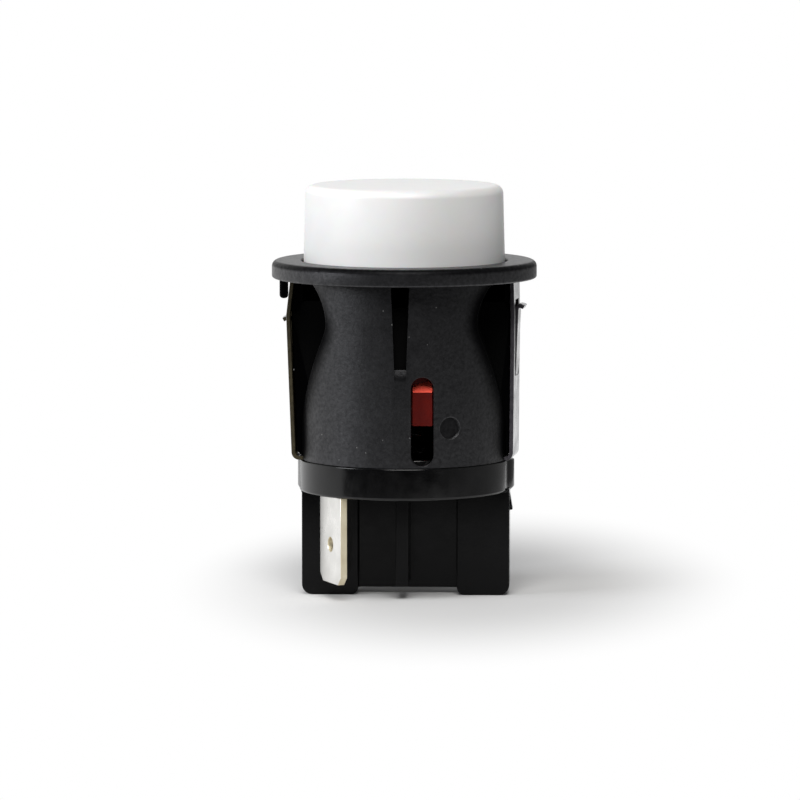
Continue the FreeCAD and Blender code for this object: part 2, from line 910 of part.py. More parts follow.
# Spring clips
def make_clip(side, belly_x, top_x, barb_drop, askew):
    """A bent strip with a barb cut free in its middle."""
    half = clip_width / 2
    stand_x = barrel_foot_radius + clip_stand
    sole = collar_top + clip_thickness / 2
    belly_z = seat_height - clip_belly_drop
    lean = (belly_x - stand_x) / (belly_z - sole)
    points = [
        (stand_x - clip_foot, sole),
        (stand_x, sole),
        (belly_x, belly_z),
        (top_x, seat_height - clip_top_gap),
    ]
    strip = ribbon(points, [clip_bend, clip_belly_bend], clip_thickness, -half, half)
    root_z = seat_height - barb_root_drop
    root_x = stand_x + lean * (root_z - sole)
    tip_z = seat_height - barb_drop
    half_barb = barb_width / 2
    window = block(chamber_radius, flange_radius, -half_barb - barb_slit, half_barb + barb_slit,
                   root_z, tip_z + barb_slit)
    tongue = ribbon([
        (root_x, root_z - clip_thickness),
        (barb_reach - barb_hook, tip_z - clip_thickness / 2),
        (barb_reach - clip_thickness / 4, tip_z - barb_fall),
    ], [barb_bend], clip_thickness, -half_barb, half_barb)
    clip = fuse_all([strip.cut(window), tongue])
    clip.rotate(V(stand_x, 0, 0), AXIS, -askew)
    return clip if side > 0 else half_turn(clip)


def make_parts():
    front_terminal = make_front_terminal()
    parts = {
        "housing": make_housing(),
        "base": make_base(),
        "button_cap": make_button_cap(),
        "plunger": make_plunger(),
        "front_terminal": front_terminal,
        "rear_terminal": mirrored(front_terminal, V(0, 1, 0)),
        "front_fixed_contact": make_fixed_contact(1),
        "rear_fixed_contact": make_fixed_contact(-1),
        "contact_bridge": make_contact_bridge(),
        "front_bridge_contact": make_bridge_contact(1),
        "rear_bridge_contact": make_bridge_contact(-1),
        "contact_spring": make_contact_spring(),
        "return_spring": make_return_spring(),
        "latch_pin": make_latch_pin(),
        "latch_spring": make_latch_spring(),
    }
    for name, sizes in clips.items():
        parts[name] = make_clip(*sizes)
    return parts


os.makedirs("parts", exist_ok=True)
for name, shape in make_parts().items():
    print(name, len(shape.Solids), "solid", round(shape.Volume, 2), "mm3", shape.isValid())
    shape.exportStep(os.path.join("parts", name + ".step"))
print("latch swing", round(math.degrees(swing), 2), "degrees")
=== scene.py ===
# %% [markdown]
# # A snap-in pushbutton switch
# The switch is a small stack of mouldings and bent metal: a white cap in a black flanged barrel, a
# glossier black base below it, a red plunger that shows in a slot, two spring clips and two blade
# terminals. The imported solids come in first. They fix every size and place, and each cell below only
# dresses them.

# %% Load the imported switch
import bmesh
import bpy
import math
from mathutils import Matrix, Vector


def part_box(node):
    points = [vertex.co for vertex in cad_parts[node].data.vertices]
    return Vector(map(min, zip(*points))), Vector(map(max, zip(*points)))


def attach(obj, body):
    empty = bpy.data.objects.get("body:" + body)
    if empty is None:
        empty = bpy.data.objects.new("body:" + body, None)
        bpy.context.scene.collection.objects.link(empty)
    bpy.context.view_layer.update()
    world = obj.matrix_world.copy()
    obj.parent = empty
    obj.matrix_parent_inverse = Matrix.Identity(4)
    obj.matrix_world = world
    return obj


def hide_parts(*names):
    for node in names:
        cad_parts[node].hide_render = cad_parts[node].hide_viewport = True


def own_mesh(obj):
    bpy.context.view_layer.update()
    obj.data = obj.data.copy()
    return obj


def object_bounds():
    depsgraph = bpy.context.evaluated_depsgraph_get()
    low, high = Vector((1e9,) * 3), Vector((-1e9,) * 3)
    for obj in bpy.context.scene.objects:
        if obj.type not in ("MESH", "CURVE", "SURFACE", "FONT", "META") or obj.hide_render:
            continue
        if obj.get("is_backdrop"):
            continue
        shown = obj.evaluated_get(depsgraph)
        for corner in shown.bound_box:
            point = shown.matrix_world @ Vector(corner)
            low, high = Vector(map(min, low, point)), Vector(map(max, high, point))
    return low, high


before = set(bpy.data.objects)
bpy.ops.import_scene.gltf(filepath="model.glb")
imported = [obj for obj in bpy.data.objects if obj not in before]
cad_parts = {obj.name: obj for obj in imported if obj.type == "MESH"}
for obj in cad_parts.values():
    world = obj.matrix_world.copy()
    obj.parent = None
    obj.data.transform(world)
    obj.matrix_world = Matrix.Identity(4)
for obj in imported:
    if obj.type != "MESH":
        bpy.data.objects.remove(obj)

cad_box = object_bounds()
MM = 0.001
print("nodes", len(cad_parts), "box", [round(v / MM, 2) for v in (*cad_box[0], *cad_box[1])])

# %% [markdown]
# ## Sizes taken from the frame
# A dressed piece has to lie exactly where its solid lies. The outer sizes are read from the solids'
# boxes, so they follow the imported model, and the few inner ones, such as a wall or a groove, are
# written once here.

# %% Sizes of the mouldings
housing_low, housing_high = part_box("housing")
base_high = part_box("base")[1]
cap_low, cap_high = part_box("button_cap")

flange_radius = housing_high.x
flange_top = housing_high.z
flange_thickness = 2.0 * MM
seat = flange_top - flange_thickness
barrel_foot = housing_low.z
collar_low = 11.8 * MM
groove_foot = seat - 9.5 * MM
groove_ramp = 1.6 * MM
groove_half_foot = 0.675 * MM
mark_radius = 1.22 * MM
mark_angle = math.radians(28)
mark_height = barrel_foot + 4.5 * MM
barrel_top_radius = 12.2 * MM
barrel_foot_radius = 11.7 * MM
cap_gap = 0.2 * MM
bore_radius = cap_high.x + cap_gap
for name, size in (("seat", seat), ("barrel foot", barrel_foot), ("bore", bore_radius)):
    print(name, round(size / MM, 2))

# %% [markdown]
# ## Camera
# The portrait was taken from a little above the table with a long lens, so the flange is a thin ellipse
# and the sides stay upright. The camera is placed by its distance, its height and a small step to the
# right, and the lens is worked out from the width of the picture at the switch.

# %% Place the camera
camera_distance = 700 * MM
camera_height = 93 * MM
camera_turn = math.radians(2.3)
field_width = 90.8 * MM
aim_height = 22.0 * MM
aim_left = 0.49 * MM

camera_data = bpy.data.cameras.new("portrait_camera")
camera_data.sensor_width = 36.0
sight = math.hypot(camera_distance, camera_height - aim_height)
camera_data.lens = camera_data.sensor_width * sight / field_width
camera_data.clip_start = 0.05
camera_data.clip_end = 20.0
camera = bpy.data.objects.new("portrait_camera", camera_data)
bpy.context.scene.collection.objects.link(camera)
camera_side = Vector((math.cos(camera_turn), math.sin(camera_turn), 0))
camera_back = Vector((math.sin(camera_turn), -math.cos(camera_turn), 0))
camera.location = camera_back * camera_distance + Vector((0, 0, camera_height)) - camera_side * aim_left
aim = Vector((0, 0, aim_height)) - camera_side * aim_left
camera.rotation_euler = (aim - camera.location).to_track_quat("-Z", "Y").to_euler()
bpy.context.scene.camera = camera
print("lens", round(camera_data.lens, 1), "mm")

# %% [markdown]
# ## Node helpers
# Every finish below is a small node tree, and two shapes are Geometry Nodes trees. A few helpers keep
# them readable: they add a node and set its inputs by name, start a material with its shader already
# joined to the output, and open and close a tree that makes a shape.


# %% Helpers for node trees
def add_node(tree, kind, inputs=None, **settings):
    node = tree.nodes.new(kind)
    for name, value in settings.items():
        setattr(node, name, value)
    for name, value in (inputs or {}).items():
        if isinstance(value, bpy.types.NodeSocket):
            tree.links.new(value, node.inputs[name])
        else:
            node.inputs[name].default_value = value
    return node


def start_material(name):
    material = bpy.data.materials.new(name)
    material.use_nodes = True
    tree = material.node_tree
    return material, tree, tree.nodes["Principled BSDF"]


def set_inputs(tree, shader, **values):
    for name, value in values.items():
        socket = shader.inputs[name.replace("_", " ").title().replace("Ior", "IOR")]
        if isinstance(value, bpy.types.NodeSocket):
            tree.links.new(value, socket)
        else:
            socket.default_value = value


def start_tree(name, inputs):
    """A Geometry Nodes tree with named inputs and one body that comes out."""
    tree = bpy.data.node_groups.new(name, "GeometryNodeTree")
    for label, kind in inputs:
        tree.interface.new_socket(label, in_out="INPUT", socket_type="NodeSocket" + kind)
    tree.interface.new_socket("Body", in_out="OUTPUT", socket_type="NodeSocketGeometry")
    return tree, add_node(tree, "NodeGroupInput").outputs


def end_tree(tree, geometry, finish):
    """Ends a tree in plain geometry with its finish, because an export drops instances."""
    real = add_node(tree, "GeometryNodeRealizeInstances", {"Geometry": geometry}).outputs["Geometry"]
    dressed = add_node(tree, "GeometryNodeSetMaterial", {"Geometry": real, "Material": finish})
    result = add_node(tree, "NodeGroupOutput")
    tree.links.new(dressed.outputs["Geometry"], result.inputs["Body"])
    return tree


print("node helpers ready")

# %% [markdown]
# ## Values in a tree
# Most nodes of a finish only work out a number: a sum, a share between two levels, or a length. One
# function for each kind of step lets a finish be read like a formula.


# %% Helpers for values
def combine(tree, operation, first, second):
    return add_node(tree, "ShaderNodeMath", {0: first, 1: second}, operation=operation).outputs[0]


def combine_vectors(tree, operation, first, second):
    return add_node(tree, "ShaderNodeVectorMath", {0: first, 1: second}, operation=operation).outputs[0]


def parts_of(tree, vector):
    return add_node(tree, "ShaderNodeSeparateXYZ", {"Vector": vector}).outputs


def mix(tree, factor, first, second):
    return add_node(tree, "ShaderNodeMix", {"Factor": factor, "A": first, "B": second}).outputs["Result"]


def ramp(tree, value, start, end, low, high):
    """Goes smoothly from low to high while the value goes from start to end, and stays level outside."""
    limits = {"Value": value, "From Min": start, "From Max": end, "To Min": low, "To Max": high}
    return add_node(tree, "ShaderNodeMapRange", limits, interpolation_type="SMOOTHSTEP").outputs["Result"]


def spread(tree, value, low, high, start=0.3, end=0.7):
    """Goes evenly from low to high. The preset start and end take in most of what a noise gives."""
    limits = {"Value": value, "From Min": start, "From Max": end, "To Min": low, "To Max": high}
    return add_node(tree, "ShaderNodeMapRange", limits).outputs["Result"]


def length_of(tree, vector):
    return add_node(tree, "ShaderNodeVectorMath", {0: vector}, operation="LENGTH").outputs["Value"]


def object_place(tree):
    return add_node(tree, "ShaderNodeTexCoord").outputs["Object"]


print("value helpers ready")

# %% [markdown]
# ## Studio
# Black plastic shows its form only by what it mirrors, so the dark side of the room matters as much as
# the light one. A painted backdrop would do, but the world itself can hold the room: bright behind and
# on the left, dim on the right and nearly dark in front. The eye doesn't see this room. For camera rays
# the world is plain white, at a strength of one.


# %% World
def white_to_the_eye(tree):
    """1 for rays that look at the room straight or through something clear, and 0 for all others."""
    path = add_node(tree, "ShaderNodeLightPath").outputs
    return combine(tree, "MAXIMUM", path["Is Camera Ray"], path["Is Transmission Ray"])


def make_world(front, right, left, back, up):
    """Levels of light by the bearing from the back. The left side ends at a sharp edge towards the front."""
    world = bpy.data.worlds.new("studio")
    bpy.context.scene.world = world
    world.use_nodes = True
    tree = world.node_tree
    tree.nodes.clear()
    back_edge = (math.radians(5), math.radians(24))
    front_edge = (math.radians(100), math.radians(150))
    left_edge = (math.radians(-114), math.radians(-109))
    ceiling = (0.45, 0.8)
    part = parts_of(tree, add_node(tree, "ShaderNodeTexCoord").outputs["Generated"])
    bearing = combine(tree, "ARCTAN2", part["X"], part["Y"])
    right_back = ramp(tree, bearing, *back_edge, back, right)
    right_front = ramp(tree, bearing, *front_edge, 0.0, right - front)
    right_side = combine(tree, "SUBTRACT", right_back, right_front)
    left_side = ramp(tree, bearing, *left_edge, front, left)
    on_right = combine(tree, "GREATER_THAN", bearing, 0.0)
    level = mix(tree, on_right, left_side, right_side)
    height = ramp(tree, part["Z"], *ceiling, 0.0, 1.0)
    lit = mix(tree, height, level, up)
    strength = mix(tree, white_to_the_eye(tree), lit, 1.0)
    shine = add_node(tree, "ShaderNodeBackground", {"Color": (1, 1, 1, 1), "Strength": strength})
    output = add_node(tree, "ShaderNodeOutputWorld")
    tree.links.new(shine.outputs["Background"], output.inputs["Surface"])
    return world


make_world(front=0.025, right=0.28, left=0.85, back=0.9, up=0.12)
print("world", bpy.context.scene.world.name)

# %% [markdown]
# ## Paper
# The switch stands on white paper. A paper that is white by light alone would burn out the cap, so this
# one is grey near the switch, where it takes the shadow, and turns plain white a short way off, for the
# eye and for mirror rays. It ends a hand's breadth in front, so that upright walls mirror the dark part
# of the room.


# %% Floor
def make_floor(outline, colour, reach, middle):
    """Paper that turns white towards the reach from its middle."""
    mesh = bpy.data.meshes.new("sweep")
    mesh.from_pydata(outline, [], [range(len(outline))])
    floor = bpy.data.objects.new("sweep", mesh)
    bpy.context.scene.collection.objects.link(floor)
    material, tree, paper = start_material("sweep_paper")
    set_inputs(tree, paper, base_color=(colour, colour, colour, 1), roughness=0.9, specular_ior_level=0.0)
    fade = (0.4, 1.1)
    shifted = combine_vectors(tree, "SUBTRACT", object_place(tree), middle)
    scaled = combine_vectors(tree, "MULTIPLY", shifted, (1 / reach[0], 1 / reach[1], 1))
    white = ramp(tree, length_of(tree, scaled), *fade, 0.0, 1.0)
    glossy = add_node(tree, "ShaderNodeLightPath").outputs["Is Glossy Ray"]
    looking = combine(tree, "MAXIMUM", white_to_the_eye(tree), glossy)
    glow = add_node(tree, "ShaderNodeEmission", {"Strength": 1.0})
    both = add_node(tree, "ShaderNodeMixShader", {0: combine(tree, "MULTIPLY", looking, white),
                                                  1: paper.outputs["BSDF"], 2: glow.outputs["Emission"]})
    tree.links.new(both.outputs[0], tree.nodes["Material Output"].inputs["Surface"])
    mesh.materials.append(material)
    floor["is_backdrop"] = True
    return floor


paper_outline = [(-0.174, 0, 0), (0, -0.085, 0), (0.065, -0.085, 0), (0.07, 0.1, 0), (0.8, 3, 0),
                 (-3, 3, 0), (-3, 0.5, 0)]
floor = make_floor(paper_outline, colour=0.7, reach=(0.031, 0.066), middle=(0.006, 0.01, 0))
print("floor", floor.name)

# %% [markdown]
# ## Lamps
# A soft box stands low on the left and draws the long light band on barrel and collar. A wider lamp
# above the front lights the cap and the level faces. Their levels keep a white face just below white,
# so that a colour shows about as it is written.


# %% Lamps
def make_lamp(name, direction, distance, size, level, colour):
    """A square lamp that looks at the switch. Its level is the light on a face that is turned towards it."""
    data = bpy.data.lights.new(name, "AREA")
    data.shape = "SQUARE"
    data.size = size
    data.color = colour
    data.energy = level * math.pi ** 2 * distance ** 2
    lamp = bpy.data.objects.new(name, data)
    middle = Vector((0, 0, 0.02))
    lamp.location = middle + Vector(direction).normalized() * distance
    lamp.rotation_euler = (middle - lamp.location).to_track_quat("-Z", "Y").to_euler()
    bpy.context.scene.collection.objects.link(lamp)
    return lamp


key = make_lamp("key", direction=(-0.87, -0.38, 0.32), distance=1.2, size=0.48, level=0.58,
                colour=(0.95, 0.97, 1.0))
fill = make_lamp("fill", direction=(0.03, -0.64, 0.77), distance=1.4, size=0.8, level=0.87,
                 colour=(1.0, 0.99, 0.975))
print("lamps", round(key.data.energy, 1), "W and", round(fill.data.energy, 1), "W")

# %% [markdown]
# ## The scoop's outline
# Seen from the front each side scoop has a hollow roof below the flange and a long run-out to the
# collar. The outline serves twice: the housing is carved with it, and the barrel's colour is painted dark
# along it as painted shade of the rolled edge, which the carved mesh doesn't have and which faces away
# from the lamps.

# %% Draw the scoop's outline
scoop_floor_x = 8.5 * MM
scoop_roof_x = 10.3 * MM
scoop_floor_z = seat - 4.8 * MM
scoop_foot_z = barrel_foot + 0.6 * MM
scoop_ease = 1.6 * MM
scoop_swell = 9.5 * MM
scoop_flare = 0.2 * MM
far_out = 2 * flange_radius


def bezier(points, steps):
    """A cubic Bezier curve through its first and last point."""
    a, b, c, d = (Vector(point) for point in points)
    curve = []
    for i in range(steps + 1):
        t = i / steps
        s = 1 - t
        curve.append(a * s ** 3 + b * 3 * s * s * t + c * 3 * s * t * t + d * t ** 3)
    return curve


def scoop_outline(roof, steps=20):
    run = scoop_roof_x - scoop_floor_x
    rise = seat - scoop_floor_z
    radius = (run ** 2 + rise ** 2) / (2 * run)
    sweep = math.asin((roof - scoop_floor_z) / radius)
    outline = []
    for i in range(steps):
        turn = sweep * (1 - i / steps)
        outline.append(Vector((scoop_floor_x + radius * (1 - math.cos(turn)), 0,
                               scoop_floor_z + radius * math.sin(turn))))
    outline += bezier([(scoop_floor_x, 0, scoop_floor_z), (scoop_floor_x, 0, scoop_floor_z - scoop_ease),
                       (barrel_foot_radius - scoop_flare, 0, scoop_foot_z + scoop_swell),
                       (barrel_foot_radius, 0, scoop_foot_z)], steps)
    outline += [Vector((far_out, 0, scoop_foot_z)), Vector((far_out, 0, roof))]
    return outline


scoop_profile = [(0.0, 1.0)]
for point in scoop_outline(seat)[-3::-4]:
    scoop_profile.append(((point.z - barrel_foot) / (seat - barrel_foot), point.x / barrel_top_radius))
print("scoop outline", len(scoop_profile), "points from foot to roof")

# %% [markdown]
# ## Patterns
# No real surface is even. Grain, clouds and dust are made by noise and by a cell pattern, both read
# from Object coordinates, so that they stay on a piece when it moves. One feature of a pattern is given
# as a real length.


# %% Patterns of the finishes
def object_scale(tree, feature):
    """Object coordinates in units of one feature of the pattern."""
    inputs = {0: object_place(tree), "Scale": 1.0 / feature}
    return add_node(tree, "ShaderNodeVectorMath", inputs, operation="SCALE").outputs[0]


def noise(tree, feature, detail=2.0, roughness=0.5):
    inputs = {"Vector": object_scale(tree, feature), "Scale": 1.0, "Detail": detail, "Roughness": roughness}
    return add_node(tree, "ShaderNodeTexNoise", inputs).outputs["Fac"]


def blend_colours(tree, factor, first, second):
    blend = add_node(tree, "ShaderNodeMix", {"Factor": factor}, data_type="RGBA")
    for socket, colour in ((blend.inputs[6], first), (blend.inputs[7], second)):
        if isinstance(colour, bpy.types.NodeSocket):
            tree.links.new(colour, socket)
        else:
            socket.default_value = (*colour, 1.0)
    return blend.outputs[2]


def mottled(tree, pattern, first, second):
    """Two near colours that take turns with a noise."""
    return blend_colours(tree, spread(tree, pattern, 0.0, 1.0), first, second)


def bumped(tree, height, strength, depth):
    """The normal of a surface whose fine relief only changes the light."""
    inputs = {"Strength": strength, "Distance": depth, "Height": height}
    return add_node(tree, "ShaderNodeBump", inputs).outputs["Normal"]


def dust(tree, spacing, size, share):
    """1 on sparse small specks: some cells of a cell pattern carry one speck at their middle."""
    cells = add_node(tree, "ShaderNodeTexVoronoi", {"Vector": object_scale(tree, spacing), "Scale": 1.0})
    spot = combine(tree, "LESS_THAN", cells.outputs["Distance"], size / spacing)
    chance = add_node(tree, "ShaderNodeSeparateColor", {"Color": cells.outputs["Color"]}).outputs["Red"]
    return combine(tree, "MULTIPLY", spot, combine(tree, "LESS_THAN", chance, share))


print("patterns ready")

# %% [markdown]
# ## Marks on the barrel
# Some places on the barrel shine less or more than the rest: the mark of the ejector pin and the slope
# below the groove. Along the rolled edges of the scoops the barrel is painted dark, as painted shade. A
# painted picture would have to be unwrapped onto the barrel. These functions find the places by the
# coordinates of the piece and give the share or the factor that the finish needs.


# %% Marks on the barrel
def scoop_edge_painted_shade(tree, x, z):
    """Painted shade: 0 on the open barrel and 1 at the rolled edge of a side scoop, which turns away from
    the light. At the upper left, next to the lamp, the painted dark band is narrower."""
    share = spread(tree, z, 0.0, 1.0, barrel_foot, seat)
    curve = add_node(tree, "ShaderNodeFloatCurve", {"Value": share})
    points = curve.mapping.curves[0].points
    while len(points) < len(scoop_profile):
        points.new(0.5, 0.5)
    for point, (height, across) in zip(points, scoop_profile):
        point.location = (height, across)
    curve.mapping.update()
    edge = combine(tree, "MULTIPLY", curve.outputs["Value"], barrel_top_radius)
    step_run = (seat - 7.0 * MM, seat - 2.0 * MM)
    band = (-0.2 * MM, 2.2 * MM)
    rise = ramp(tree, z, *step_run, 0.0, 0.7 * MM)
    step = combine(tree, "MULTIPLY", rise, combine(tree, "LESS_THAN", x, 0.0))
    inside = combine(tree, "SUBTRACT", combine(tree, "ADD", edge, step), combine(tree, "ABSOLUTE", x, 0.0))
    rolled = ramp(tree, inside, *band, 1.0, 0.0)
    return combine(tree, "MULTIPLY", rolled, combine(tree, "LESS_THAN", z, seat))


def ejector_mark(tree, place):
    """Gloss round the ejector mark: duller on its floor, brighter on the thin rim that the pin raised."""
    across = combine(tree, "ADD", combine(tree, "MULTIPLY", place["X"], math.cos(mark_angle)),
                     combine(tree, "MULTIPLY", place["Y"], math.sin(mark_angle)))
    above = combine(tree, "SUBTRACT", place["Z"], mark_height)
    offset = add_node(tree, "ShaderNodeCombineXYZ", {"X": across, "Y": above})
    away = length_of(tree, offset.outputs[0])
    floor_end = (mark_radius - 0.06 * MM, mark_radius)
    rim_end = (mark_radius + 0.04 * MM, mark_radius + 0.12 * MM)
    on_floor = ramp(tree, away, *floor_end, -0.5, 0.0)
    past_floor = ramp(tree, away, *floor_end, 0.0, 1.0)
    past_rim = ramp(tree, away, *rim_end, 0.0, 1.0)
    change = combine(tree, "ADD", on_floor, combine(tree, "SUBTRACT", past_floor, past_rim))
    in_front = combine(tree, "LESS_THAN", place["Y"], 0.0)
    return combine(tree, "ADD", combine(tree, "MULTIPLY", change, in_front), 1.0)


def groove_run_out(tree, place):
    """Gloss on the short slope below the tapered groove, which is duller than the barrel round it."""
    gloss = ramp(tree, place["Z"], groove_foot - groove_ramp, groove_foot - groove_ramp / 2, 1.0, 0.3)
    beside = combine(tree, "GREATER_THAN", combine(tree, "ABSOLUTE", place["X"], 0.0), groove_half_foot)
    above = combine(tree, "GREATER_THAN", place["Z"], groove_foot + 0.2 * MM)
    behind = combine(tree, "GREATER_THAN", place["Y"], 0.0)
    for elsewhere in (beside, above, behind):
        gloss = combine(tree, "MAXIMUM", gloss, elsewhere)
    return gloss


print("marks ready")

# %% [markdown]
# ## Black mouldings
# The barrel was moulded in a tool with a spark-eroded face: a fine dull grain, and a few specks of
# white dust that the grain holds. The base came from a smoother tool: its collar is polished and
# mirrors the soft box with a clear edge, and its feet are duller. Both are the same near-black plastic.
# Grain that only changes the light is bump, with features of four tenths of a millimetre. Where the
# gloss differs from place to place, as at the rolled edge of a scoop, it follows the coordinates of the
# piece. Along that rolled edge the colour is also painted near black, as painted shade.


# %% Finish of the black mouldings
def grained_black():
    round_start = (flange_top - 0.75 * MM, flange_top - 0.5 * MM)
    round_end = (flange_top - 0.08 * MM, flange_top - 0.02 * MM)
    flange_face = (flange_top - 0.3 * MM, flange_top - 0.1 * MM)
    flange_side = (seat, seat + 0.1 * MM)
    material, tree, shader = start_material("grained_black")
    grain = noise(tree, 0.42 * MM, detail=3.0, roughness=0.65)
    cloud = noise(tree, 2.2 * MM, detail=2.0)
    plastic = mottled(tree, grain, (0.0012, 0.0012, 0.0015), (0.005, 0.005, 0.0056))
    specks = dust(tree, 1.0 * MM, 0.085 * MM, 0.12)
    open_colour = blend_colours(tree, specks, plastic, (0.13, 0.13, 0.125))
    place = parts_of(tree, object_scale(tree, 1.0))
    # Painted shade: towards the rolled edge of a scoop the colour goes near black and the gloss nearly to
    # nothing.
    edge = scoop_edge_painted_shade(tree, place["X"], place["Z"])
    colour = blend_colours(tree, edge, open_colour, (0.001, 0.001, 0.0012))
    grain_gloss = combine(tree, "MULTIPLY", spread(tree, grain, 0.36, 0.66), ejector_mark(tree, place))
    even_gloss = combine(tree, "MULTIPLY", grain_gloss, groove_run_out(tree, place))
    open_gloss = combine(tree, "MULTIPLY", even_gloss, ramp(tree, edge, 0.0, 1.0, 1.0, 0.03))
    above = spread(tree, place["Z"], 0.0, 1.1, *round_start)
    level_top = spread(tree, place["Z"], 0.0, 1.1, *round_end)
    beside = spread(tree, place["Z"], 1.0, 1.25, *flange_side)
    on_round = combine(tree, "SUBTRACT", above, level_top)
    gloss = combine(tree, "MULTIPLY", open_gloss, combine(tree, "SUBTRACT", beside, on_round))
    top_share = spread(tree, place["Z"], 0.0, 1.0, *flange_face)
    side_rough = combine(tree, "ADD", spread(tree, grain, 0.46, 0.38), spread(tree, cloud, -0.03, 0.04))
    top_rough = spread(tree, grain, 0.4, 0.33)
    rough = mix(tree, top_share, side_rough, top_rough)
    set_inputs(tree, shader, base_color=colour, roughness=rough, specular_ior_level=gloss,
               specular_tint=(0.96, 0.96, 1.0, 1.0), normal=bumped(tree, grain, 1.0, 0.028 * MM))
    return material


def polished_black():
    material, tree, shader = start_material("polished_black")
    cloud = noise(tree, 1.7 * MM, detail=3.0)
    fine = noise(tree, 0.2 * MM)
    colour = mottled(tree, cloud, (0.0015, 0.0015, 0.0017), (0.0028, 0.0028, 0.003))
    height = parts_of(tree, object_scale(tree, 1.0))["Z"]
    gloss = spread(tree, height, 0.13, 0.42, collar_low - 0.1 * MM, collar_low)
    rough = combine(tree, "ADD", spread(tree, cloud, 0.13, 0.2), spread(tree, fine, -0.02, 0.03))
    set_inputs(tree, shader, base_color=colour, roughness=rough, specular_ior_level=gloss,
               normal=bumped(tree, cloud, 0.2, 0.02 * MM))
    return material


def painted_hollow_shade():
    """Painted shade on the walls of hollows and of the groove, where hardly any light comes back: near black
    and without gloss.
    """
    material, tree, shader = start_material("painted_hollow_shade")
    fine = noise(tree, 0.4 * MM)
    set_inputs(tree, shader, base_color=(0.004, 0.004, 0.0041, 1), roughness=spread(tree, fine, 0.4, 0.5),
               specular_ior_level=0.0)
    return material


barrel_finish = grained_black()
base_finish = polished_black()
hollow_shade_finish = painted_hollow_shade()
print("finishes", barrel_finish.name, base_finish.name, hollow_shade_finish.name)

# %% [markdown]
# ## White and red plastic
# The cap is satin white with a trace of light under its skin, so its shaded side stays soft. The
# plunger is a clear bright red on its slopes and level faces, and its upright faces are painted deep red
# as painted shade inside the slot. Both get a faint unevenness in colour and gloss, because a perfectly
# even surface reads as paint.


# %% Finish of the coloured plastics
def tinted_plastic(name, light, dark, low_gloss, high_gloss, glow, glow_depth):
    material, tree, shader = start_material(name)
    cloud = noise(tree, 3.0 * MM, detail=3.0)
    fine = noise(tree, 0.15 * MM, detail=2.0)
    colour = mottled(tree, cloud, light, dark)
    rough = spread(tree, fine, low_gloss, high_gloss)
    set_inputs(tree, shader, base_color=colour, roughness=rough, subsurface_weight=glow,
               subsurface_scale=glow_depth, normal=bumped(tree, fine, 0.08, 0.01 * MM))
    return material


def red_painted_light():
    """Painted shade on the upright faces, which turn deep red; clear bright red on slopes and level faces."""
    material, tree, shader = start_material("red_painted_light")
    cloud = noise(tree, 1.2 * MM, detail=3.0)
    fine = noise(tree, 0.15 * MM)
    normal = add_node(tree, "ShaderNodeTexCoord").outputs["Normal"]
    upward = combine(tree, "ABSOLUTE", parts_of(tree, normal)["Z"], 0.0)
    slope = (0.1, 0.5)
    level = ramp(tree, upward, *slope, 0.0, 1.0)
    # Painted shade: a dark red for upright faces, blended by the normal with the bright red of faces turned
    # up.
    shaded_red = mottled(tree, cloud, (0.1, 0.006, 0.004), (0.075, 0.005, 0.004))
    clear = mottled(tree, cloud, (0.85, 0.1, 0.065), (0.75, 0.08, 0.05))
    set_inputs(tree, shader, base_color=blend_colours(tree, level, shaded_red, clear),
               roughness=spread(tree, fine, 0.3, 0.4), specular_ior_level=0.2)
    return material


cap_finish = tinted_plastic("satin_white", (0.86, 0.86, 0.855), (0.84, 0.84, 0.835),
                            low_gloss=0.32, high_gloss=0.4, glow=0.15, glow_depth=0.6 * MM)
plunger_finish = red_painted_light()
print("finishes", cap_finish.name, plunger_finish.name)

# %% [markdown]
# ## Metals
# The blades are brass strip, tinned bright on both faces and bare where the die cut them. The clips and
# springs are rolled spring steel. Rolling leaves fine lines along the strip, made here by noise that is
# stretched along one axis, and handling leaves a few duller patches. Cut edges and inner faces of the
# clips get a plain dark finish that hardly mirrors. It is olive brown on the left clip, on the lamp's
# side, and a cooler grey on the right, in shade: painted light and shade, not a difference in the steel.


# %% Finish of the metals
def rolled_metal(name, light, dark, low_gloss, high_gloss, stretch, metal=1.0):
    material, tree, shader = start_material(name)
    along = combine_vectors(tree, "MULTIPLY", object_place(tree), [s / MM for s in stretch])
    streaks = {"Vector": along, "Scale": 1.0, "Detail": 3.0}
    lines = add_node(tree, "ShaderNodeTexNoise", streaks).outputs["Fac"]
    cloud = noise(tree, 2.0 * MM, detail=3.0)
    colour = mottled(tree, cloud, light, dark)
    rough = combine(tree, "ADD", spread(tree, lines, low_gloss, high_gloss), spread(tree, cloud, -0.04, 0.06))
    set_inputs(tree, shader, base_color=colour, metallic=metal, roughness=rough,
               normal=bumped(tree, lines, 0.12, 0.01 * MM))
    return material


def dull_steel(name, light, dark):
    """Cut edges and inner faces of the clips: dark and without gloss, so they hardly mirror."""
    material, tree, shader = start_material(name)
    cloud = noise(tree, 0.8 * MM, detail=3.0)
    colour = mottled(tree, cloud, light, dark)
    set_inputs(tree, shader, base_color=colour, roughness=spread(tree, cloud, 0.45, 0.6),
               specular_ior_level=0.0)
    return material


along_strip = (9.0, 9.0, 0.5)
across_strip = (0.6, 0.6, 9.0)
along_bridge = (9.0, 0.6, 9.0)
along_wire = (8.0, 8.0, 2.0)
evenly = (4.0, 4.0, 4.0)
tinned_finish = rolled_metal("tinned_face", (0.9, 0.89, 0.86), (0.78, 0.77, 0.74), 0.26, 0.36, along_strip)
cut_brass_finish = rolled_metal("cut_brass", (0.86, 0.79, 0.6), (0.74, 0.66, 0.47), 0.45, 0.6, across_strip,
                                metal=0.7)
clip_finish = rolled_metal("clip_steel", (0.6, 0.6, 0.61), (0.42, 0.42, 0.43), 0.2, 0.34, along_strip)
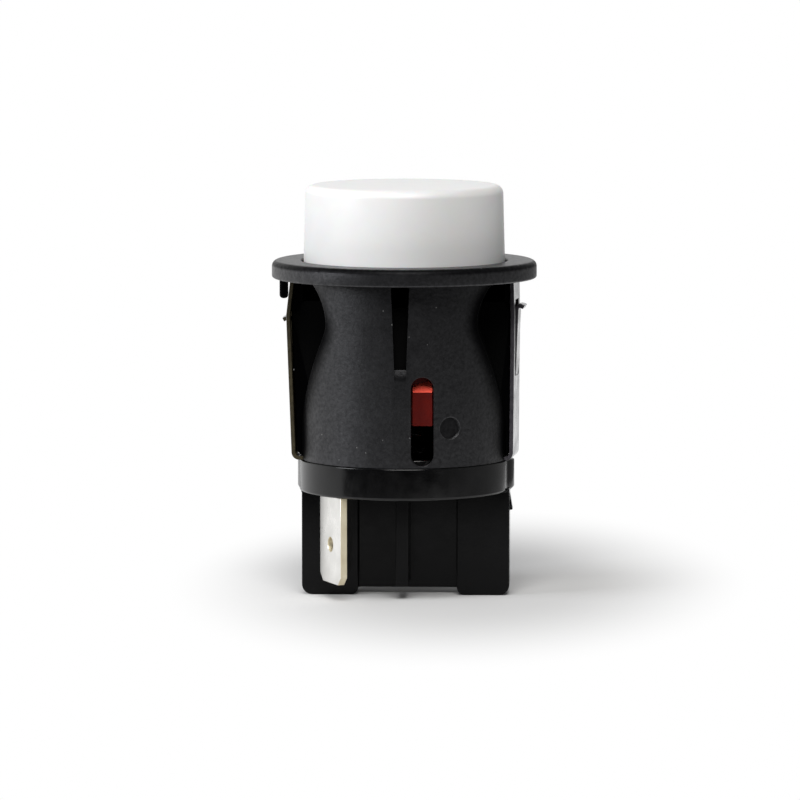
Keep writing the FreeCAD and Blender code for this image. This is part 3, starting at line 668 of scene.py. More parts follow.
# Painted light and shade: olive brown for the left clip's edges on the lamp's side, cooler grey for the right
# clip's in shade.
clip_edge_lit_and_shaded = {-1: dull_steel("clip_edge_lamp_side", (0.07, 0.06, 0.038), (0.04, 0.034, 0.022)),
                      1: dull_steel("dull_steel", (0.075, 0.07, 0.08), (0.05, 0.047, 0.055))}
wire_finish = rolled_metal("spring_wire", (0.6, 0.6, 0.6), (0.42, 0.42, 0.43), 0.22, 0.36, along_wire)
silver_finish = rolled_metal("contact_silver", (0.9, 0.89, 0.87), (0.76, 0.75, 0.72), 0.2, 0.3, evenly)
copper_finish = rolled_metal("bridge_copper", (0.8, 0.45, 0.3), (0.62, 0.33, 0.22), 0.25, 0.38, along_bridge)
for metal in (tinned_finish, cut_brass_finish, clip_finish, wire_finish, silver_finish, copper_finish):
    print("metal", metal.name)

# %% [markdown]
# ## Turning a profile with Geometry Nodes
# The cap, the barrel with its flange and the collar are all bodies of revolution. Spin in mesh code
# would do, but the rule is so simple that a node tree states it best: a grid has one column for each
# step round the axis and one row for each point of the profile, and every grid point is that profile
# point turned by its column's share of a full turn. The profile stays a short list of points, and the
# number of steps is an input.


# %% The turning tree
def turning_tree():
    inputs = (("Profile", "Geometry"), ("Steps", "Int"), ("Finish", "Material"))
    tree, given = start_tree("turn_profile", inputs)
    profile, steps = given["Profile"], given["Steps"]
    rows = add_node(tree, "GeometryNodeAttributeDomainSize", {"Geometry": profile}).outputs["Point Count"]
    columns = combine(tree, "ADD", steps, 1.0)
    grid = add_node(tree, "GeometryNodeMeshGrid", {"Vertices X": columns, "Vertices Y": rows}).outputs["Mesh"]
    index = add_node(tree, "GeometryNodeInputIndex").outputs["Index"]
    row = combine(tree, "MODULO", index, rows)
    share = combine(tree, "DIVIDE", combine(tree, "ADD", index, 0.5), rows)
    column = combine(tree, "FLOOR", share, 0.0)
    angle = combine(tree, "MULTIPLY", combine(tree, "DIVIDE", column, steps), 2 * math.pi)
    position = add_node(tree, "GeometryNodeInputPosition").outputs["Position"]
    point = add_node(tree, "GeometryNodeSampleIndex", {"Geometry": profile, "Index": row},
                     data_type="FLOAT_VECTOR")
    tree.links.new(position, point.inputs["Value"])
    spoke = {"Vector": point.outputs["Value"], "Angle": angle}
    turned_point = add_node(tree, "ShaderNodeVectorRotate", spoke, rotation_type="Z_AXIS").outputs["Vector"]
    placed = add_node(tree, "GeometryNodeSetPosition", {"Geometry": grid, "Position": turned_point})
    closed = add_node(tree, "GeometryNodeMergeByDistance",
                      {"Geometry": placed.outputs["Geometry"], "Distance": 1e-6})
    return end_tree(tree, closed.outputs["Geometry"], given["Finish"])


turn_profile = turning_tree()
print("turning tree", len(turn_profile.nodes), "nodes")

# %% [markdown]
# ## Shapes from outlines
# Besides turned bodies there are only prisms here: an outline that is pushed along a direction, as a
# slider of a mould or a punch moves. Whatever a modifier makes is turned into a plain mesh at once, so
# that no modifier is left on a piece.

# %% Helpers for shapes
fine_steps = 224
ring_steps = 96
X, Y, Z = Vector((1, 0, 0)), Vector((0, 1, 0)), Vector((0, 0, 1))


def new_object(name, mesh):
    obj = bpy.data.objects.new(name, mesh)
    bpy.context.scene.collection.objects.link(obj)
    return obj


def make_plain(obj):
    """Replace the object's mesh by what its modifiers make of it."""
    graph = bpy.context.evaluated_depsgraph_get()
    mesh = bpy.data.meshes.new_from_object(obj.evaluated_get(graph))
    obj.modifiers.clear()
    obj.data = mesh
    return obj


def face_outwards(obj):
    """Weld points that coincide, drop what has no area and turn all faces outwards."""
    bm = bmesh.new()
    bm.from_mesh(obj.data)
    bmesh.ops.remove_doubles(bm, verts=bm.verts, dist=1e-7)
    bmesh.ops.dissolve_degenerate(bm, dist=1e-7, edges=bm.edges)
    bmesh.ops.recalc_face_normals(bm, faces=bm.faces)
    bm.to_mesh(obj.data)
    bm.free()
    return obj


def grown(obj, tree, values):
    """Run a node tree on an object, with its inputs set, and keep the plain mesh that comes out."""
    modifier = obj.modifiers.new(tree.name, "NODES")
    modifier.node_group = tree
    for socket in tree.interface.items_tree:
        if socket.in_out == "INPUT" and socket.name in values:
            modifier[socket.identifier] = values[socket.name]
    return face_outwards(make_plain(obj))


def turned(name, profile, finish, steps=192):
    mesh = bpy.data.meshes.new(name)
    mesh.from_pydata([(r, 0, z) for r, z in profile], [(i, i + 1) for i in range(len(profile) - 1)], [])
    return grown(new_object(name, mesh), turn_profile, {"Steps": steps, "Finish": finish})


def round_corner(centre, radius, start, end, steps=8):
    """Points of an arc in the profile plane, angles in degrees from the outward direction."""
    points = []
    for i in range(steps + 1):
        angle = math.radians(start + (end - start) * i / steps)
        points.append((centre[0] + radius * math.cos(angle), centre[1] + radius * math.sin(angle)))
    return points


def ring(centre, across, up, radius, steps=32):
    """A circle of points in the plane of two directions."""
    points = []
    for i in range(steps):
        turn = 2 * math.pi * i / steps
        points.append(centre + (across * math.cos(turn) + up * math.sin(turn)) * radius)
    return points


def extruded(name, outline, along, finish):
    """A closed prism: an outline of points, pushed along a direction."""
    bm = bmesh.new()
    face = bm.faces.new([bm.verts.new(point) for point in outline])
    moved = bmesh.ops.extrude_face_region(bm, geom=[face])["geom"]
    bmesh.ops.translate(bm, verts=[g for g in moved if isinstance(g, bmesh.types.BMVert)], vec=along)
    bmesh.ops.recalc_face_normals(bm, faces=bm.faces)
    mesh = bpy.data.meshes.new(name)
    bm.to_mesh(mesh)
    bm.free()
    mesh.materials.append(finish)
    return new_object(name, mesh)


def block(name, low, high, finish):
    (left, front, foot), (right, rear, top) = low, high
    corners = [(left, front, foot), (right, front, foot), (right, rear, foot), (left, rear, foot)]
    return extruded(name, corners, (0, 0, top - foot), finish)


print("shape helpers ready")

# %% [markdown]
# ## Carving, rounding and dressing
# Prisms are carved out or joined by booleans. Edges are broken afterwards, all at once, because a mould
# or a die leaves no edge quite sharp. A finished piece then takes the place of its solid and rides on
# the same body.


# %% Helpers for carving
def carve(target, tool, operation="DIFFERENCE"):
    modifier = target.modifiers.new("carve", "BOOLEAN")
    modifier.operation = operation
    modifier.solver = "MANIFOLD"
    modifier.object = tool
    make_plain(target)
    bpy.data.objects.remove(tool)
    return target


def join_solid(target, tool):
    return carve(target, tool, "UNION")


def round_edges(obj, width, segments=2, angle=28.0, weld=0.004 * MM):
    """Round every sharp edge a little, as a mould or a die does."""
    face_outwards(obj)
    welding = obj.modifiers.new("weld", "WELD")
    welding.merge_threshold = weld
    bevel = obj.modifiers.new("round", "BEVEL")
    bevel.width = width
    bevel.segments = segments
    bevel.limit_method = "ANGLE"
    bevel.angle_limit = math.radians(angle)
    bevel.use_clamp_overlap = False
    bevel.miter_outer = "MITER_ARC"
    return make_plain(obj)


def shade_faces(obj, flat_area=None):
    """Shade round faces smooth and keep flat ones flat. On sheet metal every large face is flat.
    On mouldings faces with many corners are split here, so that none is split wrongly later."""
    obj.data.shade_smooth()
    obj.data.set_sharp_from_angle(angle=math.radians(50))
    if flat_area:
        for face in obj.data.polygons:
            face.use_smooth = face.area < flat_area
        return obj
    obj.modifiers.new("flat_faces", "WEIGHTED_NORMAL").keep_sharp = True
    split = obj.modifiers.new("split", "TRIANGULATE")
    split.min_vertices = 5
    split.keep_custom_normals = True
    return make_plain(obj)


def soften(obj, width, flat_area=None):
    return shade_faces(round_edges(obj, width), flat_area)


def dress(obj, node, body):
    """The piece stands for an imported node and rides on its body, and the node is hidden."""
    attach(obj, body)
    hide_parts(node)
    print(obj.name, len(obj.data.polygons), "faces, stands for", node)


print("carving helpers ready")

# %% [markdown]
# ## Button cap
# The cap is a thin shell with a little draft, a flat top and a one millimetre round that catches the
# light all the way round. Inside it has a socket that snaps over the plunger's neck. The shell is one
# turned profile, down the inside and up the outside, and the socket is a second ring joined to its
# ceiling.

# %% Turn the cap
cap_top_radius = 11.2 * MM
cap_round = 1.0 * MM
cap_wall = 1.3 * MM
cap_ceiling = cap_high.z - 1.4 * MM
skirt_round = 0.15 * MM
socket_inner = 5.8 * MM
socket_outer = 6.9 * MM
socket_foot = cap_ceiling - 5.5 * MM
socket_root = cap_ceiling + 0.3 * MM
half_window = 1.7 * MM
window_low = cap_ceiling - 3.3 * MM
window_high = cap_ceiling - 2.0 * MM

cap_profile = [(0, cap_ceiling), (cap_top_radius - cap_wall, cap_ceiling)]
cap_profile += [(cap_high.x - cap_wall, cap_low.z)]
cap_profile += round_corner((cap_high.x - skirt_round, cap_low.z + skirt_round), skirt_round, -90, 0, 4)
cap_profile += round_corner((cap_top_radius - cap_round, cap_high.z - cap_round), cap_round, 0, 90, 12)
cap_profile += [(0, cap_high.z)]
button_cap = turned("cap_shell", cap_profile, cap_finish, fine_steps)
socket_profile = [(socket_inner, socket_foot), (socket_outer, socket_foot), (socket_outer, socket_root),
                  (socket_inner, socket_root), (socket_inner, socket_foot)]
socket_ring = turned("cap_socket", socket_profile, cap_finish, ring_steps)
for side in (-1, 1):
    outline = [(-half_window, side * MM, window_low), (half_window, side * MM, window_low),
               (half_window, side * MM, window_high), (-half_window, side * MM, window_high)]
    carve(socket_ring, extruded("nose_window", outline, (0, side * socket_outer, 0), cap_finish))
join_solid(button_cap, socket_ring)
button_cap.data.shade_smooth()
button_cap.data.set_sharp_from_angle(angle=math.radians(40))
dress(button_cap, "button_cap", "button")

# %% [markdown]
# ## Housing
# Flange and barrel are one moulding. It starts as a turned blank with the cap's well and the lower
# chamber. The two side scoops, the slots, the tapered groove and the ejector mark are then carved with
# simple prisms, the way a tool's sliders form them, and the fins and the key peg are joined on.

# %% Turn the housing's blank
flange_round = 0.7 * MM
flange_break = 0.15 * MM
bore_chamfer = 0.2 * MM
well_floor = 33.4 * MM
chamber_radius = 10.5 * MM
chamber_roof = 21.45 * MM
way_half_width = 7.2 * MM
way_top = 32.2 * MM
guide_bore = 6.2 * MM
guide_radius = 7.4 * MM
guide_top = 36.0 * MM

blank_profile = [(0, chamber_roof), (chamber_radius, chamber_roof), (chamber_radius, barrel_foot)]
blank_profile += [(barrel_foot_radius, barrel_foot), (barrel_top_radius, seat)]
blank_profile += [(flange_radius - flange_break, seat), (flange_radius, seat + flange_break)]
flange_corner = (flange_radius - flange_round, flange_top - flange_round)
blank_profile += round_corner(flange_corner, flange_round, 0, 90)
blank_profile += [(bore_radius + bore_chamfer, flange_top), (bore_radius, flange_top - bore_chamfer)]
blank_profile += [(bore_radius, well_floor), (guide_radius, well_floor), (guide_radius, guide_top)]
blank_profile += [(guide_bore, guide_top), (guide_bore, way_top - MM), (0, way_top - MM)]
housing = turned("barrel_and_flange", blank_profile, barrel_finish, fine_steps)
print("blank", len(housing.data.polygons), "faces")

# %% [markdown]
# ## Scoops
# The hollows beside the barrel leave the clips room to bend. Each is the outline drawn above, pushed
# through the blank from front to back. In front of the fins it reaches up to the flange, and elsewhere
# only to the top of the plunger's way, so that the cap's well keeps its wall.

# %% Carve the scoops
clip_half_width = 2.6 * MM
clip_thickness = 0.45 * MM
fin_face = clip_half_width - 0.6 * MM
for side in (1, -1):
    for roof, start, end in ((seat, -far_out, -fin_face), (way_top, -far_out, far_out)):
        outline = [Vector((side * p.x, start, p.z)) for p in scoop_outline(roof)]
        carve(housing, extruded("scoop_slider", outline, (0, end - start, 0), barrel_finish))
print("scoops carved", len(housing.data.polygons), "faces")

# %% [markdown]
# ## Fins and key peg
# Two thin fins stand behind each clip and follow its bend, so that it can't be pushed in too far. The
# round peg under the flange fits a notch in the panel and keeps the switch from turning.

# %% Join the fins and the key peg
fin_thickness = 0.6 * MM
fin_reach = 12.0 * MM
fin_foot = barrel_foot + clip_thickness + 0.12 * MM
fin_gap = {1: 0.3 * MM, -1: 0.19 * MM}
fin_root = 0.15 * MM
fin_corner = 0.3 * MM
well_wall_x = bore_radius + 0.13 * MM
chamber_wall_x = chamber_radius + 0.12 * MM
belly_drop = 4.2 * MM
# side, belly, upper end, drop of the barb below the seat, degrees askew
clips = {"left_clip": (-1, 13.05 * MM, 12.6 * MM, 4.2 * MM, 0.0),
         "right_clip": (1, 12.6 * MM, 12.5 * MM, 2.7 * MM, 6.0)}
peg_place = -13.66 * MM
peg_radius = 0.5 * MM
peg_length = 2.45 * MM
peg_end_round = 0.42 * MM

for side, belly_x, top_x, *_ in clips.values():
    gap = clip_thickness / 2 + fin_gap[side]
    outline = [(chamber_wall_x, fin_foot), (fin_reach - fin_corner, fin_foot),
               (fin_reach, fin_foot + fin_corner), (belly_x - gap, seat - belly_drop),
               (top_x - gap, seat + fin_root), (well_wall_x, seat + fin_root),
               (well_wall_x, way_top + fin_root), (way_half_width, way_top + fin_root),
               (way_half_width, chamber_roof + fin_root), (chamber_wall_x, chamber_roof + fin_root)]
    for y in (-fin_face, fin_face - fin_thickness):
        points = [Vector((side * px, y, pz)) for px, pz in outline]
        join_solid(housing, extruded("fin", points, Y * fin_thickness, barrel_finish))
peg_low = seat - peg_length
peg_profile = [(0, peg_low)]
peg_profile += round_corner((peg_radius - peg_end_round, peg_low + peg_end_round), peg_end_round, -90, 0, 6)
peg_profile += [(peg_radius, seat + flange_break), (0, seat + flange_break)]
peg = turned("key_peg", peg_profile, barrel_finish, steps=32)
peg.data.transform(Matrix.Translation((peg_place, 0, 0)))
join_solid(housing, peg)
print("fins and peg joined", len(housing.data.polygons), "faces")

# %% [markdown]
# ## Openings of the barrel
# The plunger slides in a round way with two flat sides, its lugs show in a slot at the front and one at
# the back, and each clip's foot lies in a shallow notch. The round mark at the front is where a pin
# pushed the moulding out of its tool.

# %% Carve the plunger's way, the slots and the ejector mark
slot_x = 2.45 * MM
slot_half_width = 1.25 * MM
slot_low = barrel_foot + 0.3 * MM
slot_high = slot_low + 10.0 * MM
slot_depth = 9.3 * MM
mark_depth = 0.2 * MM
notch_half = clip_half_width + 0.3 * MM
notch_inner = 9.6 * MM


def way_outline(half_width, radius, height, steps=24):
    """A circle cut flat on two sides, as a level outline."""
    reach = math.acos(half_width / radius)
    points = []
    for middle in (90, 270):
        for i in range(steps + 1):
            angle = math.radians(middle) + (reach - math.pi / 2) + (math.pi - 2 * reach) * i / steps
            points.append(Vector((radius * math.cos(angle), radius * math.sin(angle), height)))
    return points


def slot_outline(x, half_width, low, high, y, steps=16):
    points = []
    for centre, start in ((high - half_width, 0), (low + half_width, 180)):
        for i in range(steps + 1):
            angle = math.radians(start + 180 * i / steps)
            across, up = half_width * math.cos(angle), half_width * math.sin(angle)
            points.append(Vector((x + across, y, centre + up)))
    return points


way = way_outline(way_half_width, chamber_radius, chamber_roof - MM)
carve(housing, extruded("plunger_way", way, (0, 0, way_top - chamber_roof + MM), barrel_finish))
for side in (1, -1):
    outline = slot_outline(side * slot_x, slot_half_width, slot_low, slot_high, -side * far_out)
    carve(housing, extruded("slot_slider", outline, (0, side * (far_out - slot_depth), 0), barrel_finish))
    xs = sorted((side * notch_inner, side * flange_radius))
    carve(housing, block("clip_notch", (xs[0], -notch_half, barrel_foot - MM),
                         (xs[1], notch_half, barrel_foot + clip_thickness), barrel_finish))
outward = Vector((math.sin(mark_angle), -math.cos(mark_angle), 0))
across = Vector((math.cos(mark_angle), math.sin(mark_angle), 0))
floor_point = outward * (barrel_foot_radius - mark_depth) + Vector((0, 0, mark_height))
mark = ring(floor_point, across, Z, mark_radius, steps=40)
carve(housing, extruded("ejector_pin", mark, outward * mark_radius, barrel_finish))
print("carved", len(housing.data.polygons), "faces")

# %% [markdown]
# ## Edges and groove
# Every edge is rounded by about a tenth of a millimetre: without that none would catch light. The
# tapered groove and its short run-out are cut after this, because their edges are crisp. Faces deep in
# the moulding and the steep walls of the groove, where hardly any light comes back, get painted shade:
# the near-black hollow finish without gloss.

# %% Round the housing's edges, then cut the groove
housing_edge = 0.09 * MM
groove_half_top = 1.025 * MM
groove_floor = barrel_foot_radius - 0.9 * MM
ramp_depth = 0.35 * MM
hollow_depth = 0.45 * MM
groove_margin = 0.2 * MM
outward_share = 0.97
taper = (barrel_top_radius - barrel_foot_radius) / (seat - barrel_foot)

round_edges(housing, housing_edge)
groove = [(-groove_half_top, -far_out, seat), (groove_half_top, -far_out, seat),
          (groove_half_foot, -far_out, groove_foot), (-groove_half_foot, -far_out, groove_foot)]
carve(housing, extruded("groove_slider", groove, (0, far_out - groove_floor, 0), barrel_finish))
run_out = [(ramp_depth - barrel_foot_radius, groove_foot), (-far_out, groove_foot),
           (-far_out, groove_foot - groove_ramp), (-barrel_top_radius, groove_foot - groove_ramp)]
run_out = [Vector((-groove_half_foot, y, z)) for y, z in run_out]
carve(housing, extruded("groove_ramp", run_out, (2 * groove_half_foot, 0, 0), barrel_finish))
shade_faces(housing)
hollow_shade_slot = len(housing.data.materials)
housing.data.materials.append(hollow_shade_finish)
hollow = 0
# Painted shade: faces deep in the moulding and the steep walls of the groove take the near-black hollow
# finish.
for face in housing.data.polygons:
    x, y, z = face.center
    away = math.hypot(x, y)
    deep = away < barrel_foot_radius + taper * (z - barrel_foot) - hollow_depth
    in_groove = abs(x) < groove_half_top + groove_margin and y < 0 and z > groove_foot
    steep = face.normal.x * x + face.normal.y * y < outward_share * away
    if barrel_foot < z < seat - flange_break and (deep or in_groove and steep):
        face.material_index = hollow_shade_slot
        hollow += 1
print("hollow faces", hollow, "in slot", hollow_shade_slot)
dress(housing, "housing", "body")

# %% [markdown]
# ## Base
# The base closes the barrel from below. Its collar is turned like the housing, and the barrier wall,
# the two feet and the centre rib are plain blocks joined to it. Below each clip the collar swells into
# a small round boss. The feet have rounded lower corners and are cored from below, so their walls stay
# thin.

# %% Turn the collar and join what hangs below it
collar_radius = 11.9 * MM
collar_break = 0.2 * MM
cup_floor = 13.4 * MM
cup_radius = 9.6 * MM
spigot_radius = 10.35 * MM
feet = {1: (6.05 * MM, 12.0 * MM), -1: (5.15 * MM, 11.55 * MM)}
foot_half_depth = 2.3 * MM
foot_wall = 1.2 * MM
foot_outer_round = 1.2 * MM
foot_inner_round = 0.9 * MM
web_half = 0.75 * MM
web_lift = 0.7 * MM
rib_half = 0.7 * MM
rib_reach = 6.8 * MM
rib_lift = 1.5 * MM
boss_reach = {1: 12.5 * MM, -1: 12.1 * MM}
boss_half = 1.8 * MM
boss_chamfer = 0.5 * MM
sunk = 0.4 * MM

collar_profile = [(0, collar_low), (collar_radius - collar_break, collar_low)]
collar_profile += [(collar_radius, collar_low + collar_break), (collar_radius, barrel_foot)]
collar_profile += [(spigot_radius, barrel_foot), (spigot_radius, base_high.z)]
collar_profile += [(cup_radius, base_high.z), (cup_radius, cup_floor), (0, cup_floor)]
base = turned("collar_and_feet", collar_profile, base_finish, fine_steps)


def foot_outline(side):
    """The foot's front view: an upright block with its two lower corners rounded."""
    foot_inner, foot_outer = feet[side]
    outline = [(foot_inner, collar_low + sunk)]
    outline += round_corner((foot_inner + foot_inner_round, foot_inner_round), foot_inner_round, 180, 270)
    outline += round_corner((foot_outer - foot_outer_round, foot_outer_round), foot_outer_round, 270, 360)
    outline += [(foot_outer, collar_low + sunk)]
    return [Vector((side * x, -foot_half_depth, z)) for x, z in outline]


def clip_boss(side):
    """A round swelling of the collar below the clip's foot, kept outside the cup."""
    rise = boss_reach[side] - math.sqrt(collar_radius ** 2 - boss_half ** 2)
    radius = (boss_half ** 2 + rise ** 2) / (2 * rise)
    profile = [(0, collar_low), (radius - boss_chamfer, collar_low), (radius, collar_low + boss_chamfer)]
    profile += [(radius, barrel_foot), (0, barrel_foot)]
    boss = turned("clip_boss", profile, base_finish, ring_steps)
    boss.data.transform(Matrix.Translation((side * (boss_reach[side] - radius), 0, 0)))
    cup = [(0, collar_low - MM), (spigot_radius, collar_low - MM), (spigot_radius, barrel_foot + MM),
           (0, barrel_foot + MM)]
    return carve(boss, turned("cup", cup, base_finish))


for side in (1, -1):
    join_solid(base, extruded("foot", foot_outline(side), (0, 2 * foot_half_depth, 0), base_finish))
join_solid(base, block("barrier", (-feet[-1][0] - sunk, -web_half, web_lift),
                       (feet[1][0] + sunk, web_half, collar_low + sunk), base_finish))
join_solid(base, block("rib", (-rib_half, -rib_reach, rib_lift), (rib_half, rib_reach, collar_low + sunk),
                       base_finish))
for side in (1, -1):
    join_solid(base, clip_boss(side))
    core_half = foot_half_depth - foot_wall
    xs = sorted((side * (feet[side][0] + foot_wall), side * (feet[side][1] - foot_wall)))
    carve(base, block("foot_core", (xs[0], -core_half, -MM), (xs[1], core_half, collar_low - foot_wall),
                      base_finish))
print("base", len(base.data.polygons), "faces")

# %% [markdown]
# ## Details of the base
# A wedge stands beside the right foot, a post centres the return spring, and a boss holds the latch
# pin. Each is a plain block or a turned pin. The pockets of the two terminals and the slot of the
# latch's leaf are carved last, each a little wider than the metal that goes in.

# %% Side wedge, spring post, pivot boss and the terminals' pockets
wedge_top = 11.7 * MM
wedge_low = 9.6 * MM
wedge_reach = 12.35 * MM
wedge_root = feet[1][1] - foot_wall / 2
wedge_half = 0.8 * MM
post_radius = 1.745 * MM
post_top = cup_floor + 2.6 * MM
blade_place = Vector((-7.72 * MM, -6.6 * MM, 0))
blade_angle = math.radians(24.5)
stem_half = 1.7 * MM
blade_half_thickness = 0.4 * MM
stem_gap = 0.1 * MM
stem_bend = 0.9 * MM
contact_reach = 3.04 * MM
pivot_half = 1.3 * MM
pivot_top = 15.8 * MM
pivot_near = 3.3 * MM
pivot_far = 5.0 * MM
pivot_height = 14.5 * MM
pivot_hole = 0.5 * MM
leaf_low, leaf_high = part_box("latch_spring")
leaf_root_x = 7.6 * MM
leaf_half = 0.175 * MM
leaf_gap = 0.05 * MM
base_edge = 0.12 * MM

wedge = [(wedge_root, wedge_top), (feet[1][1], wedge_top), (wedge_reach, wedge_low), (wedge_root, wedge_low)]
wedge = [Vector((x, -wedge_half, z)) for x, z in wedge]
join_solid(base, extruded("side_wedge", wedge, (0, 2 * wedge_half, 0), base_finish))
post_foot = cup_floor - sunk
post_profile = [(0, post_foot), (post_radius, post_foot), (post_radius, post_top), (0, post_top)]
join_solid(base, turned("spring_post", post_profile, base_finish, steps=48))
pivot_boss = block("pivot_boss", (pivot_near, -pivot_half, cup_floor - sunk),
                   (pivot_far, pivot_half, pivot_top), base_finish)
pin_hole = ring(Z * pivot_height, Y, Z, pivot_hole, steps=24)
join_solid(base, carve(pivot_boss, extruded("pin_hole", pin_hole, X * collar_radius, base_finish)))
carve(base, block("leaf_slot", (leaf_root_x - leaf_half, leaf_low.y - leaf_gap, leaf_low.z),
                  (leaf_root_x + leaf_half, leaf_high.y + leaf_gap, cup_floor + sunk), base_finish))


def place_terminal(obj, y_side):
    """From the terminal's own axes, X pointing inwards, to its place at the front or the back."""
    obj.data.transform(Matrix.Translation(blade_place) @ Matrix.Rotation(blade_angle, 4, "Z"))
    if y_side > 0:
        obj.data.transform(Matrix.Scale(-1, 4, (0, 1, 0)))
        face_outwards(obj)
    return obj


half_sheet = blade_half_thickness + stem_gap
half_stem = stem_half + stem_gap
for y_side in (-1, 1):
    stem_slot = block("stem_slot", (-half_sheet, -half_stem, collar_low - MM),
                      (stem_bend, half_stem, cup_floor + sunk), base_finish)
    room = block("terminal_room", (-half_sheet, -half_stem, cup_floor),
                 (contact_reach, half_stem, base_high.z + MM), base_finish)
    for tool in (stem_slot, room):
        carve(base, place_terminal(tool, y_side))
soften(base, base_edge)
dress(base, "base", "body")

# %% [markdown]
# ## Blade terminals
# Each blade is punched from strip, its tip chamfered so that a receptacle slides on, with one small
# hole for the receptacle's dimple. The faces are tinned and the cut edges are bare, so the edge faces
# get a finish of their own. The stem bends level inside the base to carry the contact.

# %% Build the terminals
blade_half_width = 3.15 * MM
blade_tip = 1.9 * MM
blade_chamfer = 0.9 * MM
blade_hole_radius = 0.825 * MM
blade_hole_height = blade_tip + 4.4 * MM
rivet_seat = 0.62 * MM
foot_middle = cup_floor + blade_half_thickness
foot_end = contact_reach + 1.7 * MM
blade_edge = 0.07 * MM
flat_sheet = 1.5 * MM ** 2
blade_facing = 0.5


def ribbon_outline(points, bends, thickness, steps=6):
    """Both sides of a bent strip in the XZ plane, with round bends, as one closed outline."""
    points = [Vector((x, 0, z)) for x, z in points]
    runs = [(b - a).normalized() for a, b in zip(points, points[1:])]
    normals = [Vector((-run.z, 0, run.x)) for run in runs]
    sides = []
    for offset in (thickness / 2, -thickness / 2):
        side = [points[0] + normals[0] * offset]
        for i, radius in enumerate(bends):
            cross = runs[i].x * runs[i + 1].z - runs[i].z * runs[i + 1].x
            turn = math.atan2(cross, runs[i].dot(runs[i + 1]))
            hand = math.copysign(1, turn)
            first = points[i + 1] - runs[i] * (radius * math.tan(abs(turn) / 2))
            centre = first + normals[i] * (radius * hand)
            spoke = normals[i] * (offset - radius * hand)
            for step in range(steps + 1):
                side.append(centre + Matrix.Rotation(-turn * step / steps, 3, "Y") @ spoke)
        side.append(points[-1] + normals[-1] * offset)
        sides.append(side)
    return sides[0] + sides[1][::-1]


def strip(name, points, bends, thickness, half_width, finish):
    outline = [Vector((p.x, -half_width, p.z)) for p in ribbon_outline(points, bends, thickness)]
    return extruded(name, outline, (0, 2 * half_width, 0), finish)


def make_terminal(name, y_side):
    tip = [(-blade_half_width, collar_low), (-blade_half_width, blade_tip + blade_chamfer),
           (-blade_half_width + blade_chamfer, blade_tip), (blade_half_width - blade_chamfer, blade_tip),
           (blade_half_width, blade_tip + blade_chamfer), (blade_half_width, collar_low)]
    outline = [Vector((-blade_half_thickness, y, z)) for y, z in tip]
    blade = extruded(name, outline, (2 * blade_half_thickness, 0, 0), tinned_finish)
    stem_points = [(0, collar_low - MM), (0, foot_middle), (foot_end, foot_middle)]
    stem = strip("stem", stem_points, [stem_bend], 2 * blade_half_thickness, stem_half, tinned_finish)
    join_solid(blade, stem)
    hole = ring(Z * blade_hole_height - X * MM, Y, Z, blade_hole_radius)
    carve(blade, extruded("dimple_hole", hole, X * 2 * MM, tinned_finish))
    seat_ring = ring(X * contact_reach + Z * collar_low, X, Y, rivet_seat)
    carve(blade, extruded("rivet_seat", seat_ring, Z * 4 * MM, tinned_finish))
    soften(blade, blade_edge, flat_sheet)
    edge_slot = len(blade.data.materials)
    blade.data.materials.append(cut_brass_finish)
    for face in blade.data.polygons:
        if abs(face.normal.x) < blade_facing and face.center.z < collar_low:
            face.material_index = edge_slot
    return place_terminal(blade, y_side)


for name, y_side in (("front_terminal", -1), ("rear_terminal", 1)):
    dress(make_terminal(name.replace("terminal", "blade"), y_side), name, "body")

# %% [markdown]
# ## Spring clips
# A clip is one bent strip. Its foot is clamped between barrel and base, its leaf bellies outwards, and
# a tongue cut free in its middle ends in a barb that catches behind the panel. The strip is a ribbon
# outline pushed sideways, the window is carved, and the tongue is a second ribbon joined at its root.
# The right clip stands a little askew, and cut edges and inner faces are dull.

# %% Build the clips
clip_stand_x = barrel_foot_radius + 0.75 * MM
clip_foot = 1.55 * MM
clip_top_z = seat - 0.3 * MM
clip_bends = [0.65 * MM, 2.0 * MM]
barb_half = 1.2 * MM
barb_slit = 0.25 * MM
barb_root_z = seat - 10.6 * MM
barb_reach = 13.8 * MM
barb_hook = 0.9 * MM
barb_fall = 0.6 * MM
barb_bend = 0.4 * MM
clip_edge = 0.06 * MM
clip_facing = 0.6


def make_clip(name, side, belly_x, top_x, barb_drop, askew):
    sole = barrel_foot + clip_thickness / 2
    belly_z = seat - belly_drop
    lean = (belly_x - clip_stand_x) / (belly_z - sole)
    points = [(clip_stand_x - clip_foot, sole), (clip_stand_x, sole), (belly_x, belly_z), (top_x, clip_top_z)]
    clip = strip(name, points, clip_bends, clip_thickness, clip_half_width, clip_finish)
    tip_z = seat - barb_drop
    root_x = clip_stand_x + lean * (barb_root_z - sole)
    window_half = barb_half + barb_slit
    carve(clip, block("barb_window", (chamber_radius, -window_half, barb_root_z),
                      (flange_radius, window_half, tip_z + barb_slit), clip_finish))
    tongue = [(root_x, barb_root_z - clip_thickness), (barb_reach - barb_hook, tip_z - clip_thickness / 2),
              (barb_reach - clip_thickness / 4, tip_z - barb_fall)]
    join_solid(clip, strip("barb", tongue, [barb_bend], clip_thickness, barb_half, clip_finish))
    soften(clip, clip_edge, flat_sheet)
    # Cut edges and inner faces take the side's dark edge finish, painted light on the left and painted shade
    # on the right.
    edge_slot = len(clip.data.materials)
    clip.data.materials.append(clip_edge_lit_and_shaded[side])
    for face in clip.data.polygons:
        if abs(face.normal.y) > clip_facing or face.normal.x < -clip_facing:
            face.material_index = edge_slot
    stand = Matrix.Translation(X * clip_stand_x)
    clip.data.transform(stand @ Matrix.Rotation(-math.radians(askew), 4, "Z") @ stand.inverted())
    if side < 0:
        clip.data.transform(Matrix.Rotation(math.pi, 4, "Z"))
    return clip


